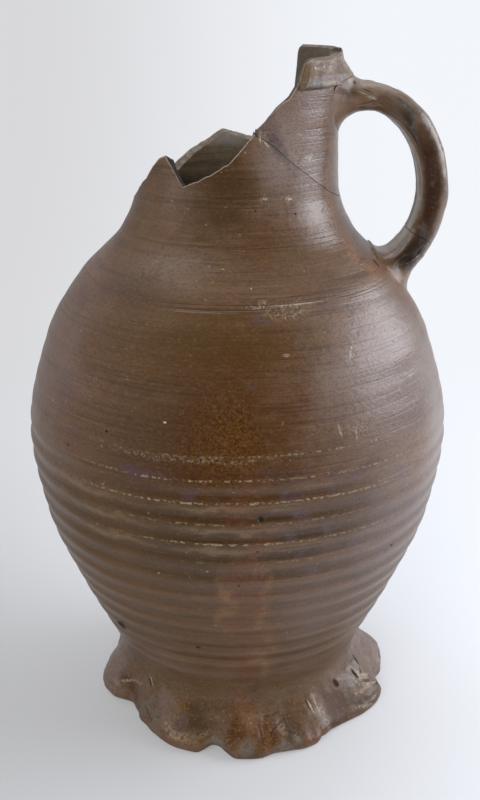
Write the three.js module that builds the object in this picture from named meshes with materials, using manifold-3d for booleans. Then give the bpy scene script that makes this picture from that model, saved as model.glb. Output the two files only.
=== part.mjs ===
// A salt-glazed brown stoneware jug with a pinched foot, a ribbed belly and a neck that is broken away on one side.
// The neck sherd that carries the handle has been glued back: once along the crack in the neck, once across the handle.
// Millimetres, +Z up. The origin is the centre of the foot on the table, and the handle is on the +X side.
import * as THREE from "three";
import { mergeVertices } from "three/addons/utils/BufferGeometryUtils.js";
import Module from "manifold-3d";

const wasm = await Module();
wasm.setup();

const degree = Math.PI / 180;

// Thrown wall: outer radius at each height of the profile
const baseRadius = 45.5;
const stemHeight = 20;
const stemRadius = 52.4;
const haunchHeight = 64;
const haunchRadius = 72.8;
const flankHeight = 98;
const flankRadius = 85.4;
const bellyHeight = 131;
const bellyRadius = 90;
const shoulderHeight = 172;
const shoulderRadius = 80.4;
const lineHeight = 196; // the incised line where the shoulder turns into the neck
const lineRadius = 66;
const throatHeight = 216;
const throatRadius = 47.4;
const neckHeight = 232;
const neckRadius = 41.3;
const rimHeight = 285;
const rimRadius = 40;
const frontRimWear = 2.6; // the rim stands this much lower on the side that faces the viewer

// Wall thicknesses and the floor
const bodyWall = 5.6;
const neckWall = 4.8;
const rimWall = 3.8;
const floorThickness = 8.5;
const floorDome = 1.5;
const undersideLift = 1; // the floor of the pot hangs this far above the table, inside the foot
const undersideHollow = 1.6;

// Throwing ribs, which fade out above and below
const ribPitch = 8.72;
const firstGroove = 46;
const grooveCount = 11;
const grooveDepth = 0.75;
const ribFade = 12;

// Fit between neighbours, and the films of glue
const fitGap = 0.3;
const glueFilm = 0.4;
const glueGap = 0.3;
const crackSlant = 1; // the inner edge of the mended crack stands this much higher than the outer one
const breakSlant = -1.2; // and of the open break this much lower
const sherdLag = 5; // degrees by which the inner edge of the sherd's own break lags behind the outer one

// Broken edges as azimuth in degrees from the handle, anticlockwise from above, and as share of the deepest bite
const biteDepth = 58.5; // below the rim
const belowRim = ([azimuth, share]) => [azimuth, rimHeight - share * biteDepth];
const frontWear = frontRimWear / biteDepth;
const openBreak = [
  [62, 0.68],
  [75, 0.684],
  [92, 0.626],
  [100, 0.605],
  [108, 0.667],
  [123, 0.769],
  [137, 0.88],
  [152, 0.949],
  [180, 1],
  [192, 0.957],
  [211, 0.812],
  [222, 0.684],
  [228, 0.643],
  [234, 0.735],
  [240, 0.838],
  [248, 0.797],
  [258, 0.735],
  [266, 0.68],
  [273, 0.581],
  [279, 0.499],
].map(belowRim);
const crack = [
  [279, 0.499],
  [289, 0.571],
  [301, 0.694],
  [316, 0.814],
  [330, 0.906],
  [345, 0.964],
  [360, 0.998],
  [381, 0.957],
  [402, 0.831],
  [422, 0.68],
].map(belowRim);
const sherdTop = [
  [279, 0.499],
  [283, 0.424],
  [289, 0.345],
  [297, 0.284],
  [303, 0.202],
  [307, 0.113],
  [310, frontWear],
  [336, frontWear * 0.9],
  [352, 0],
  [406, 0],
  [406.5, 0.137],
  [409, 0.325],
  [414, 0.496],
  [422, 0.68],
].map(belowRim);
const sherdStart = 280.5;
const sherdEnd = 421;

// Collar folded over the outside of the rim
const collarDrop = 13.4; // from the rim to the collar's lower edge
const collarTopDrop = 1;
const collarBottom = rimHeight - collarDrop;
const collarTop = rimHeight - collarTopDrop;
const collarLipRadius = 46.2;
const collarTopRadius = 41;
const collarLip = 1.6;

// Pulled handle
const handleAzimuth = 2;
const upperRootDrop = 18.2; // from the rim to the centreline where the handle leaves the neck
const upperRootHeight = rimHeight - upperRootDrop;
const bowRadius = 80.4; // centreline at the furthest point from the axis
const lowerRootHeight = 191.1; // the bottom of the lower arc
const bowHeight = (upperRootHeight + lowerRootHeight) / 2;
const upperArcStart = 50; // radius where the handle leaves its straight run and turns down
const lowerArcCentre = 45;
const lowerArcDepth = bowHeight - lowerRootHeight;
const strapWidth = 20;
const crownThickness = 10.6;
const bowThickness = 12;
const rootWidening = 5;
const strapGroove = 0.9;
const handleBreakAngle = -29; // on the lower arc, below level

// Clay smeared over both ends of the handle: radii of the fillets above, beside and below the strap
const upperFillets = { outer: 4, side: 6, inner: 9 };
const lowerFillets = { outer: 11, side: 7, inner: 6 };
const lutingEdge = 0.8;

// Foot: a coil pressed round the stem and pinched out into lobes
const footTop = 27;
const footFeather = 0.7;
const footEdgeThickness = 5.4;
const scoopLift = 2.2;
const footBedShare = 0.5; // of the way from the stem to a lobe's edge lies flat on the table
const footUnderRound = 2.6;
const footReach = 70.7; // of the longest lobe
const footLobes = [
  { azimuth: 8, tip: 0.993, scoop: 0.877 },
  { azimuth: 35, tip: 0.941, scoop: 0.849 },
  { azimuth: 62, tip: 0.962, scoop: 0.856 },
  { azimuth: 91, tip: 0.926, scoop: 0.856 },
  { azimuth: 119, tip: 0.948, scoop: 0.849 },
  { azimuth: 150, tip: 0.926, scoop: 0.842 },
  { azimuth: 196, tip: 0.928, scoop: 0.81 },
  { azimuth: 234, tip: 0.888, scoop: 0.874 },
  { azimuth: 251, tip: 0.919, scoop: 0.829 },
  { azimuth: 273, tip: 0.945, scoop: 0.922 },
  { azimuth: 300, tip: 0.948, scoop: 0.902 },
  { azimuth: 318, tip: 0.948, scoop: 0.95 },
  { azimuth: 341, tip: 1, scoop: 0.924 },
];

const glazedClay = new THREE.MeshStandardMaterial({
  color: 0x6a4a36,
  roughness: 0.42,
  metalness: 0,
});
const neckClay = new THREE.MeshStandardMaterial({
  color: 0x70503f,
  roughness: 0.45,
  metalness: 0,
});
const wornClay = new THREE.MeshStandardMaterial({
  color: 0x86705f,
  roughness: 0.65,
  metalness: 0,
});
const handleClay = new THREE.MeshStandardMaterial({
  color: 0x6e5341,
  roughness: 0.4,
  metalness: 0,
});
const footClay = new THREE.MeshStandardMaterial({
  color: 0x6b5240,
  roughness: 0.5,
  metalness: 0,
});
const glue = new THREE.MeshStandardMaterial({
  color: 0x3a332c,
  roughness: 0.5,
  metalness: 0,
});

// A function of x that runs smoothly through the points, without overshooting between them.
function smoothThrough(points) {
  const slopes = points.map((point, i) => {
    const before = points[Math.max(i - 1, 0)];
    const after = points[Math.min(i + 1, points.length - 1)];
    const left = (point[1] - before[1]) / Math.max(point[0] - before[0], 1e-6);
    const right = (after[1] - point[1]) / Math.max(after[0] - point[0], 1e-6);
    if (i === 0) return right;
    if (i === points.length - 1) return left;
    return left * right <= 0 ? 0 : (2 * left * right) / (left + right);
  });
  return (x) => {
    const last = points.length - 2;
    let i = points.findIndex((point, k) => k > 0 && x <= point[0]) - 1;
    if (i < 0) i = x <= points[0][0] ? 0 : last;
    const [x0, y0] = points[i];
    const [x1, y1] = points[i + 1];
    const span = x1 - x0;
    const t = THREE.MathUtils.clamp((x - x0) / span, 0, 1);
    const rise = y1 - y0;
    const a = slopes[i] * span - rise;
    const b = rise - slopes[i + 1] * span;
    return y0 + rise * t + t * (1 - t) * (a * (1 - t) + b * t);
  };
}

// A function of x that runs in straight lines through the points.
function straightThrough(points) {
  return (x) => {
    let i = points.findIndex((point) => x <= point[0]);
    if (i < 0) i = points.length - 1;
    i = Math.max(i, 1);
    const t = (x - points[i - 1][0]) / (points[i][0] - points[i - 1][0]);
    return THREE.MathUtils.lerp(points[i - 1][1], points[i][1], THREE.MathUtils.clamp(t, 0, 1));
  };
}

const plainRadius = smoothThrough([
  [0, baseRadius],
  [stemHeight, stemRadius],
  [haunchHeight, haunchRadius],
  [flankHeight, flankRadius],
  [bellyHeight, bellyRadius],
  [shoulderHeight, shoulderRadius],
  [lineHeight, lineRadius],
  [throatHeight, throatRadius],
  [neckHeight, neckRadius],
  [rimHeight, rimRadius],
]);
const wallThickness = smoothThrough([
  [shoulderHeight, bodyWall],
  [neckHeight, neckWall],
  [rimHeight, rimWall],
]);
const lastGroove = firstGroove + (grooveCount - 1) * ribPitch;

function outerRadius(z) {
  const turn = ((z - firstGroove) / ribPitch) * 2 * Math.PI;
  const fade =
    THREE.MathUtils.smoothstep(z, firstGroove - ribFade, firstGroove + ribFade) *
    (1 - THREE.MathUtils.smoothstep(z, lastGroove - ribFade, lastGroove + ribFade));
  return plainRadius(z) - grooveDepth * fade * ((1 + Math.cos(turn)) / 2) ** 2;
}

const innerRadius = (z) => plainRadius(z) - wallThickness(z);

const columnStep = 7.2; // degrees between columns

// Columns every few degrees from start to end, with one at each mark and none crowding it.
function columnsThrough(start, end, step, marks) {
  const inside = marks.filter((mark) => mark > start && mark < end);
  const count = Math.round((end - start) / step);
  const even = [];
  for (let i = 1; i < count; i++) {
    const azimuth = start + ((end - start) * i) / count;
    if (inside.every((mark) => Math.abs(mark - azimuth) > step * 0.45)) even.push(azimuth);
  }
  return [start, end, ...inside, ...even].sort((a, b) => a - b);
}

const around = (azimuth, [radius, height]) =>
  new THREE.Vector3(
    radius * Math.cos(azimuth * degree),
    radius * Math.sin(azimuth * degree),
    height,
  );

// A closed mesh through loops of points, each loop with as many points as the others. A ring of loops closes on itself,
// and a row of loops gets a cap at each end.
function loft(loops, isRing) {
  const size = loops[0].length;
  const vertices = loops.flat();
  const index = [];
  const spans = isRing ? loops.length : loops.length - 1;
  for (let i = 0; i < spans; i++) {
    const here = i * size;
    const next = ((i + 1) % loops.length) * size;
    for (let k = 0; k < size; k++) {
      const up = (k + 1) % size;
      index.push(here + k, next + k, next + up);
      index.push(here + k, next + up, here + up);
    }
  }
  if (!isRing) {
    for (const [first, loop, turned] of [
      [0, loops[0], false],
      [(loops.length - 1) * size, loops[loops.length - 1], true],
    ]) {
      for (const [a, b, c] of capTriangles(loop)) {
        if (turned) index.push(first + a, first + c, first + b);
        else index.push(first + a, first + b, first + c);
      }
    }
  }
  const geometry = new THREE.BufferGeometry().setFromPoints(vertices);
  geometry.setIndex(index);
  return closed(geometry);
}

// Triangles that fill a flat loop, wound as the loop is.
function capTriangles(loop) {
  const normal = new THREE.Vector3();
  loop.forEach((point, i) => {
    const next = loop[(i + 1) % loop.length];
    normal.add(new THREE.Vector3().crossVectors(point, next));
  });
  normal.normalize();
  const side = new THREE.Vector3().subVectors(loop[1], loop[0]).normalize();
  const other = new THREE.Vector3().crossVectors(normal, side);
  const flat = loop.map((point) => new THREE.Vector2(point.dot(side), point.dot(other)));
  return THREE.ShapeUtils.triangulateShape(flat, []);
}

// The same mesh with shared vertices merged and empty triangles left out.
function closed(geometry) {
  const merged = mergeVertices(geometry, 1e-4);
  const old = merged.index.array;
  const kept = [];
  for (let i = 0; i < old.length; i += 3) {
    const [a, b, c] = [old[i], old[i + 1], old[i + 2]];
    if (a !== b && b !== c && c !== a) kept.push(a, b, c);
  }
  merged.setIndex(kept);
  return merged;
}

function solidOf(geometry) {
  return new wasm.Manifold(
    new wasm.Mesh({
      numProp: 3,
      vertProperties: new Float32Array(geometry.attributes.position.array),
      triVerts: new Uint32Array(geometry.index.array),
    }),
  );
}

function geometryOf(solid) {
  const mesh = solid.getMesh();
  const positions = new Float32Array(mesh.numVert * 3);
  for (let i = 0; i < mesh.numVert; i++) {
    positions.set(mesh.vertProperties.subarray(i * mesh.numProp, i * mesh.numProp + 3), i * 3);
  }
  const geometry = new THREE.BufferGeometry();
  geometry.setAttribute("position", new THREE.BufferAttribute(positions, 3));
  geometry.setIndex(new THREE.BufferAttribute(new Uint32Array(mesh.triVerts), 1));
  return geometry;
}

// Thrown body, up to its broken edge
const halfCrack = glueFilm / 2 + glueGap;
const breakHeight = straightThrough(openBreak);
const crackHeight = straightThrough(crack);
const crackStart = crack[0][0];
const crackEnd = crack[crack.length - 1][0] - 360;

const isMended = (azimuth) => azimuth >= crackStart || azimuth <= crackEnd;

function bodyEdge(azimuth) {
  if (!isMended(azimuth)) return breakHeight(azimuth);
  return crackHeight(azimuth >= crackStart ? azimuth : azimuth + 360) - halfCrack;
}

// Heights that divide a length of wall evenly, with its upper end and without its lower one.
function rowsBetween(low, high, count) {
  return Array.from({ length: count }, (_, i) => THREE.MathUtils.lerp(low, high, (i + 1) / count));
}

const lowestEdge = Math.min(...openBreak.map(([, height]) => height), ...crack.map(([, height]) => height));
const baseRound = 1.4;
const lowestOuterRow = undersideLift + baseRound;
const lastRib = lastGroove + ribPitch;
const underEdge = biteDepth / 8; // the level rows stop this far below the lowest broken edge
const lastLevelRow = lowestEdge - underEdge;
const outerRows = [
  lowestOuterRow,
  ...rowsBetween(lowestOuterRow, stemHeight, 3),
  footTop,
  (footTop + firstGroove) / 2,
];
for (let i = 0; i < grooveCount; i++) {
  for (const share of [0, 0.3, 0.7]) outerRows.push(firstGroove + (i + share) * ribPitch);
}
outerRows.push(
  lastRib,
  ...rowsBetween(lastRib, shoulderHeight, 3),
  ...rowsBetween(shoulderHeight, lineHeight, 3),
  ...rowsBetween(lineHeight, lastLevelRow, 4),
);
const edgeRows = [0.3, 0.6, 1];
const insideFloor = undersideLift + floorThickness;
const firstInnerRow = insideFloor + bodyWall * 1.8;
const innerRows = [
  firstInnerRow,
  ...rowsBetween(firstInnerRow, bellyHeight, 5),
  ...rowsBetween(bellyHeight, shoulderHeight, 2),
  ...rowsBetween(shoulderHeight, lastLevelRow, 3),
];

function bodyLoop(azimuth) {
  const edge = bodyEdge(azimuth);
  const loop = [
    [0, undersideLift + undersideHollow],
    [baseRadius * 0.6, undersideLift + undersideHollow * 0.6],
    [baseRadius - baseRound, undersideLift],
  ];
  for (const z of outerRows) loop.push([outerRadius(z), z]);
  for (const share of edgeRows) {
    const z = THREE.MathUtils.lerp(lastLevelRow, edge, share);
    loop.push([outerRadius(z), z]);
  }
  const innerEdge = edge + (isMended(azimuth) ? crackSlant : breakSlant);
  loop.push([innerRadius(innerEdge), innerEdge]);
  for (const z of [...innerRows].reverse()) loop.push([innerRadius(z), z]);
  loop.push([innerRadius(insideFloor) - 2, insideFloor]);
  loop.push([baseRadius * 0.45, insideFloor + floorDome * 0.6]);
  loop.push([0, insideFloor + floorDome]);
  return loop.map((point) => around(azimuth, point));
}

const bodyMarks = [...openBreak, ...crack].map(([azimuth]) => azimuth % 360);
const bodyColumns = columnsThrough(0, 360, columnStep, [...new Set(bodyMarks)]).slice(0, -1);
const bodyGeometry = loft(bodyColumns.map(bodyLoop), true);

// Neck sherd, from the crack up to its own broken edge or the rim
const sherdTopHeight = straightThrough(sherdTop);
const sherdRows = [0, 0.18, 0.38, 0.58, 0.78, 1];
const lipRise = 1;
const thinnest = 0.6;

function sherdLoop(azimuth) {
  const bottom = crackHeight(azimuth) + halfCrack;
  const isRim = sherdTopHeight(azimuth) > collarBottom + collarDrop * 0.6;
  const top = Math.max(sherdTopHeight(azimuth) - (isRim ? lipRise : 0), bottom + thinnest);
  const lagging = sherdTopHeight(Math.max(azimuth - sherdLag, sherdStart)) - (isRim ? lipRise : 0);
  const innerTop = Math.max(Math.min(top, lagging), bottom + crackSlant + thinnest);
  const loop = [];
  for (const share of sherdRows) {
    const z = THREE.MathUtils.lerp(bottom, top, share);
    loop.push([outerRadius(z), z]);
  }
  const middle = (outerRadius(top) + innerRadius(innerTop)) / 2;
  loop.push([middle, (top + innerTop) / 2 + (isRim ? lipRise : 0)]);
  for (const share of [...sherdRows].reverse()) {
    const z = THREE.MathUtils.lerp(bottom + crackSlant, innerTop, share);
    loop.push([innerRadius(z), z]);
  }
  return loop.map((point) => around(azimuth, point));
}

const sherdMarks = [...sherdTop, ...crack].map(([azimuth]) => azimuth);
const sherdColumns = columnsThrough(sherdStart, sherdEnd, columnStep, [...new Set(sherdMarks)]);
const sherdGeometry = loft(sherdColumns.map(sherdLoop), false);

// Collar, wedge-shaped, round the outside of the rim wherever the rim survives
const collarStart = 305;
const collarEnd = 406;
const collarOuter = straightThrough([
  [collarBottom, collarLipRadius],
  [collarTop, collarTopRadius],
]);

function collarLoop(azimuth) {
  const inner = (z) => outerRadius(z) + fitGap;
  const lip = collarBottom + collarLip;
  const top = Math.max(Math.min(collarTop, sherdTopHeight(azimuth) - 0.4), lip + 0.2);
  const lagging = sherdTopHeight(azimuth - sherdLag) - 0.4;
  const innerTop = THREE.MathUtils.clamp(lagging, collarBottom + 0.6, top);
  const levels = [0, 0.5, 1];
  const loop = [
    [inner(collarBottom), collarBottom],
    [collarLipRadius - 1.2, collarBottom + 0.1],
    ...levels.map((share) => THREE.MathUtils.lerp(lip, top, share)).map((z) => [collarOuter(z), z]),
    [inner(innerTop), innerTop],
    [inner(collarBottom + 0.3), collarBottom + 0.3],
  ];
  return loop.map((point) => around(azimuth, point));
}

const collarMarks = sherdTop.map(([azimuth]) => azimuth);
const collarColumns = columnsThrough(collarStart, collarEnd, columnStep, collarMarks);
const collarGeometry = loft(collarColumns.map(collarLoop), false);

// Film of glue in the crack of the neck
function glueLoop(azimuth) {
  const z = crackHeight(azimuth);
  const outer = outerRadius(z) - 0.4;
  const inner = innerRadius(z) + 0.5;
  const low = z - glueFilm / 2;
  const high = z + glueFilm / 2;
  const loop = [
    [outer, low],
    [outer, high],
    [inner, high + crackSlant],
    [inner, low + crackSlant],
  ];
  return loop.map((point) => around(azimuth, point));
}

const glueColumns = columnsThrough(sherdStart, sherdEnd, columnStep, crack.map(([azimuth]) => azimuth));
const neckGlueGeometry = loft(glueColumns.map(glueLoop), false);

// The handle's centreline, from inside the neck over the bow and down into the shoulder. Each place has a point, the
// direction that the clay runs in, and how far along it lies.
function handleLine() {
  const places = [];
  const startRadius = neckRadius - 4;
  const straightSteps = 4;
  for (let i = 0; i < straightSteps; i++) {
    places.push([THREE.MathUtils.lerp(startRadius, upperArcStart, i / straightSteps), upperRootHeight]);
  }
  const upperSteps = 12;
  for (let i = 0; i < upperSteps; i++) {
    const angle = 90 * degree * (1 - i / upperSteps);
    places.push([
      upperArcStart + (bowRadius - upperArcStart) * Math.cos(angle),
      bowHeight + (upperRootHeight - bowHeight) * Math.sin(angle),
    ]);
  }
  const lowerSteps = 16;
  const lowerSweep = 80;
  for (let i = 0; i <= lowerSteps; i++) {
    const angle = (-lowerSweep * degree * i) / lowerSteps;
    places.push([
      lowerArcCentre + (bowRadius - lowerArcCentre) * Math.cos(angle),
      bowHeight + lowerArcDepth * Math.sin(angle),
    ]);
  }
  const curve = new THREE.CatmullRomCurve3(places.map(([r, z]) => new THREE.Vector3(r, 0, z)));
  return curve;
}

const handleCurve = handleLine();
const handleLength = handleCurve.getLength();

// Place along the handle where it first meets a height on the lower arc, as a share of its length.
function shareAt(test) {
  const steps = 400;
  for (let i = 0; i <= steps; i++) {
    if (test(handleCurve.getPointAt(i / steps))) return i / steps;
  }
  return 1;
}

const neckShare = shareAt((point) => point.x >= neckRadius);
const shoulderShare = shareAt((point) => point.z < bowHeight && point.x <= plainRadius(point.z));
const breakHeightOnHandle = bowHeight + lowerArcDepth * Math.sin(handleBreakAngle * degree);
const breakShare = shareAt((point) => point.x > upperArcStart && point.z <= breakHeightOnHandle);

// Half width and half thickness of the strap at a share of its length
function strapSize(share) {
  const fromNeck = (share - neckShare) * handleLength;
  const fromShoulder = (shoulderShare - share) * handleLength;
  const widening =
    rootWidening * (Math.exp(-((fromNeck / 12) ** 2)) + 0.6 * Math.exp(-((fromShoulder / 10) ** 2)));
  const thickening = THREE.MathUtils.smoothstep(fromNeck, 8, 34);
  return {
    halfWidth: (strapWidth + widening) / 2,
    halfThickness: THREE.MathUtils.lerp(crownThickness, bowThickness, thickening) / 2 + widening * 0.12,
  };
}

const strapSides = 18;
const outerSquareness = 0.85;
const innerSquareness = 0.5; // 1 is an ellipse, less is squarer

// One strap section, rounded outside and flat inside, with a shallow groove drawn down its outer face. Each point is
// moved outwards by what growAt gives for its place, its angle round the section and the section's share.
function strapLoop(share, growAt) {
  const { halfWidth, halfThickness } = strapSize(share);
  const centre = handleCurve.getPointAt(share);
  const along = handleCurve.getTangentAt(share);
  const outward = new THREE.Vector3(-along.z, 0, along.x);
  const sideways = new THREE.Vector3(0, -1, 0);
  const loop = [];
  for (let i = 0; i < strapSides; i++) {
    const angle = ((i + 0.5) / strapSides) * 2 * Math.PI;
    const [c, s] = [Math.cos(angle), Math.sin(angle)];
    const power = s > 0 ? outerSquareness : innerSquareness;
    const side = Math.sign(c) * Math.abs(c) ** power * halfWidth;
    const groove = s > 0 ? strapGroove * Math.exp(-((side / (halfWidth * 0.4)) ** 2)) : 0;
    const out = Math.sign(s) * Math.abs(s) ** power * halfThickness - groove;
    const point = centre.clone().addScaledVector(outward, out).addScaledVector(sideways, side);
    const grow = growAt(point, s);
    loop.push(point.addScaledVector(outward, grow * s).addScaledVector(sideways, grow * c));
  }
  return loop;
}

// A length of the strap between two shares.
function strap(from, to, steps, growAt = () => 0) {
  const loops = [];
  for (let i = 0; i <= steps; i++) {
    loops.push(strapLoop(THREE.MathUtils.lerp(from, to, i / steps), growAt));
  }
  const geometry = loft(loops, false);
  geometry.rotateZ(handleAzimuth * degree);
  return geometry;
}

// Everything inside the wall and the collar, grown by the fit: what is pressed against the pot is cut by it.
function wallEnvelope() {
  const outline = [new THREE.Vector2(0, bellyHeight)];
  const envelopeRows = [
    bellyHeight,
    ...rowsBetween(bellyHeight, shoulderHeight, 3),
    ...rowsBetween(shoulderHeight, lineHeight, 4),
    ...rowsBetween(lineHeight, neckHeight, 8),
    ...rowsBetween(neckHeight, collarBottom - fitGap, 3),
  ];
  for (const z of envelopeRows) outline.push(new THREE.Vector2(outerRadius(z) + fitGap, z));
  outline.push(new THREE.Vector2(collarLipRadius + fitGap, collarBottom - fitGap));
  outline.push(new THREE.Vector2(collarLipRadius + fitGap, collarBottom + collarLip));
  outline.push(new THREE.Vector2(collarTopRadius + fitGap, collarTop));
  outline.push(new THREE.Vector2(collarTopRadius + fitGap, rimHeight + collarDrop));
  outline.push(new THREE.Vector2(0, rimHeight + collarDrop));
  outline.push(new THREE.Vector2(0, bellyHeight));
  const geometry = new THREE.LatheGeometry(outline, 120);
  geometry.deleteAttribute("normal");
  geometry.deleteAttribute("uv");
  geometry.rotateX(90 * degree);
  return closed(geometry);
}

const envelope = solidOf(wallEnvelope());
const jointHalf = (glueFilm / 2 + glueGap) / handleLength;
const handleSolid = solidOf(strap(0, breakShare - jointHalf, 26)).subtract(envelope);
const stumpSolid = solidOf(strap(breakShare + jointHalf, 1, 9)).subtract(envelope);
const glueInset = -0.4;
const handleGlueGeometry = strap(
  breakShare - glueFilm / 2 / handleLength,
  breakShare + glueFilm / 2 / handleLength,
  1,
  () => glueInset,
);

// Clay smeared over a root: a fillet between the wall and the strap, thin where it runs out along the strap.
function filletGrowth(fillets) {
  return (point, s) => {
    const slope = (outerRadius(point.z + 2) - outerRadius(point.z - 2)) / 4;
    const beside =
      THREE.MathUtils.smoothstep(point.z, collarBottom - collarDrop, collarBottom - collarDrop / 2) *
      THREE.MathUtils.smoothstep(s, 0, 1);
    const face = THREE.MathUtils.lerp(outerRadius(point.z), collarLipRadius - 1, beside);
    const away = (Math.hypot(point.x, point.y) - face) / Math.hypot(1, slope);
    const radius = THREE.MathUtils.lerp(fillets.side, s > 0 ? fillets.outer : fillets.inner, s * s);
    const left = THREE.MathUtils.clamp(1 - away / radius, 0, 1);
    return lutingEdge + radius * (1 - Math.sqrt(1 - left * left));
  };
}

function upperLuting() {
  const end = neckShare + (upperFillets.inner + 3) / handleLength;
  const outside = solidOf(strap(neckShare * 0.5, end, 12, filletGrowth(upperFillets)));
  const inside = solidOf(strap(0, end + 4 / handleLength, 9, () => fitGap));
  return outside.subtract(inside).subtract(envelope);
}

function lowerLuting() {
  const start = shoulderShare - (lowerFillets.inner + 6) / handleLength;
  const outside = solidOf(strap(start, 1, 14, filletGrowth(lowerFillets)));
  const inside = solidOf(strap(start - 4 / handleLength, 1, 10, () => fitGap));
  return outside.subtract(inside).subtract(envelope);
}

// Foot coil. Each lobe is pinched out and pressed to the table, and the scoops between lobes are lifted clear.
const lobeAngles = footLobes.map((lobe) => lobe.azimuth);
const columnsPerLobe = 7;

function footEdgeAt(azimuth) {
  const here = footLobes.findLastIndex((lobe) => lobe.azimuth <= azimuth);
  const lobe = footLobes.at(here);
  const next = footLobes[(here + 1) % footLobes.length];
  const share = ((azimuth - lobe.azimuth + 360) % 360) / ((next.azimuth - lobe.azimuth + 360) % 360);
  const pinch = (1 + Math.cos(2 * Math.PI * share)) / 2;
  const tip = THREE.MathUtils.lerp(lobe.tip, next.tip, THREE.MathUtils.smoothstep(share, 0, 1));
  return { pinch, edge: footReach * THREE.MathUtils.lerp(lobe.scoop, tip, pinch) };
}

const footFlareRows = [0, 0.2, 0.42, 0.68, 1];

function footLoop(azimuth) {
  const { pinch, edge } = footEdgeAt(azimuth);
  const seat = (z) => outerRadius(z) + fitGap;
  const lift = scoopLift * (1 - pinch);
  const edgeTop = lift + footEdgeThickness;
  const hollow = THREE.MathUtils.lerp(2, 1.15, pinch); // scoops are pressed in, ridges run up to the lobes
  const loop = [
    [seat(0), 0],
    [THREE.MathUtils.lerp(seat(0), edge - footUnderRound, footBedShare), 0],
    [edge - footUnderRound, lift],
    [edge - footUnderRound * 0.15, lift + footUnderRound * 0.54],
    [edge, lift + footEdgeThickness * 0.6],
  ];
  for (const share of footFlareRows) {
    const z = THREE.MathUtils.lerp(edgeTop, footTop, share);
    const wall = outerRadius(z) + footFeather;
    loop.push([wall + (edge - 0.8 - wall) * (1 - share) ** hollow, z]);
  }
  for (const share of [1, 0.74, 0.48, 0.26]) loop.push([seat(footTop * share), footTop * share]);
  return loop.map((point) => around(azimuth, point));
}

const footColumns = [];
footLobes.forEach((lobe, i) => {
  const span = (lobeAngles[(i + 1) % lobeAngles.length] - lobe.azimuth + 360) % 360;
  for (let k = 0; k < columnsPerLobe; k++) footColumns.push(lobe.azimuth + (span * k) / columnsPerLobe);
});
const footGeometry = loft(footColumns.map(footLoop), true);

// Assembly
const jug = new THREE.Group();

function add(name, geometry, material) {
  const mesh = new THREE.Mesh(geometry, material);
  mesh.name = name;
  jug.add(mesh);
}

add("thrown_body", bodyGeometry, glazedClay);
add("pinched_foot", footGeometry, footClay);
add("neck_sherd", sherdGeometry, neckClay);
add("rim_collar", collarGeometry, wornClay);
add("handle_arch", geometryOf(handleSolid), handleClay);
add("handle_stump", geometryOf(stumpSolid), handleClay);
add("upper_luting", geometryOf(upperLuting()), handleClay);
add("lower_luting", geometryOf(lowerLuting()), handleClay);
add("neck_glue_film", neckGlueGeometry, glue);
add("handle_glue_film", handleGlueGeometry, glue);

export default jug;
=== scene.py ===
# The stoneware jug in Blender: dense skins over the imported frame, salt glaze, a pale sweep and soft lamps.
# Lengths are millimetres until a mesh is made. On the turned forms, a turn is in degrees from the handle,
# anticlockwise from above, and stains are placed by degrees from the front, positive towards the handle.
import math

import bmesh
import bpy
import numpy as np
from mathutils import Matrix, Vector, noise


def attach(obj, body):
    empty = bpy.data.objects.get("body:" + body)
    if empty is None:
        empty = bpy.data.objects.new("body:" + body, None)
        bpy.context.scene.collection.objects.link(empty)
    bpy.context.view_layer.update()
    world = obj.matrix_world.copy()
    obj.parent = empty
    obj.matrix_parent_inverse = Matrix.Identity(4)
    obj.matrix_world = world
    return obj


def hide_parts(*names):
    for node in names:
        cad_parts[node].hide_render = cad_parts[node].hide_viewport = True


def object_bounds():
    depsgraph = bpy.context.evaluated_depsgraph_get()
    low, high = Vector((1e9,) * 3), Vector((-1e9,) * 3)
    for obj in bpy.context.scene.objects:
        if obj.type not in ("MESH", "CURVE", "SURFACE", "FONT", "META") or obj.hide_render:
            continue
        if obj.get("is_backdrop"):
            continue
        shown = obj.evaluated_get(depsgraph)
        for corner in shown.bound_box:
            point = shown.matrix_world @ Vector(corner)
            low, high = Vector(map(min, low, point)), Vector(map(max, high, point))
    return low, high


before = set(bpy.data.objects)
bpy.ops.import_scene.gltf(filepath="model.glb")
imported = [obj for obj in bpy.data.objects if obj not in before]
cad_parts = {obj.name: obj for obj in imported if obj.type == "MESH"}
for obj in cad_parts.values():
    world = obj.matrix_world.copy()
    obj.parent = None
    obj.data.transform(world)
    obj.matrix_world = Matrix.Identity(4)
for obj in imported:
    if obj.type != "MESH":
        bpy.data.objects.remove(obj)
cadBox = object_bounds()
print("frame loaded")


def toLinear(text):
    parts = [int(text[i : i + 2], 16) / 255 for i in (1, 3, 5)]
    return (*(c / 12.92 if c <= 0.04045 else ((c + 0.055) / 1.055) ** 2.4 for c in parts), 1.0)


# One node with its settings and its inputs, which are values or the outputs of other nodes
def addNode(tree, kind, inputs=None, **settings):
    node = tree.nodes.new(kind)
    for key, value in settings.items():
        setattr(node, key, value)
    for key, value in (inputs or {}).items():
        if isinstance(value, bpy.types.NodeSocket):
            tree.links.new(value, node.inputs[key])
        else:
            node.inputs[key].default_value = value
    return node.outputs


# Shapes that every piece leans on

jug = {
    "profile": [
        (0, 45.5), (20, 52.4), (64, 72.8), (98, 85.4), (131, 90), (172, 80.4),
        (196, 66), (216, 47.4), (232, 41.3), (285, 40),
    ],
    "thickness": [(172, 5.6), (232, 4.8), (285, 3.8)],
    "skin": 0.12,  # the skins lie this far inside the frame's own faces
    "rim": 285,
    "biteDepth": 58.5,
    "handleTurn": 2,
    "sharpAngle": 50,  # an edge that turns by more degrees than this shows sharp
}


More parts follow.
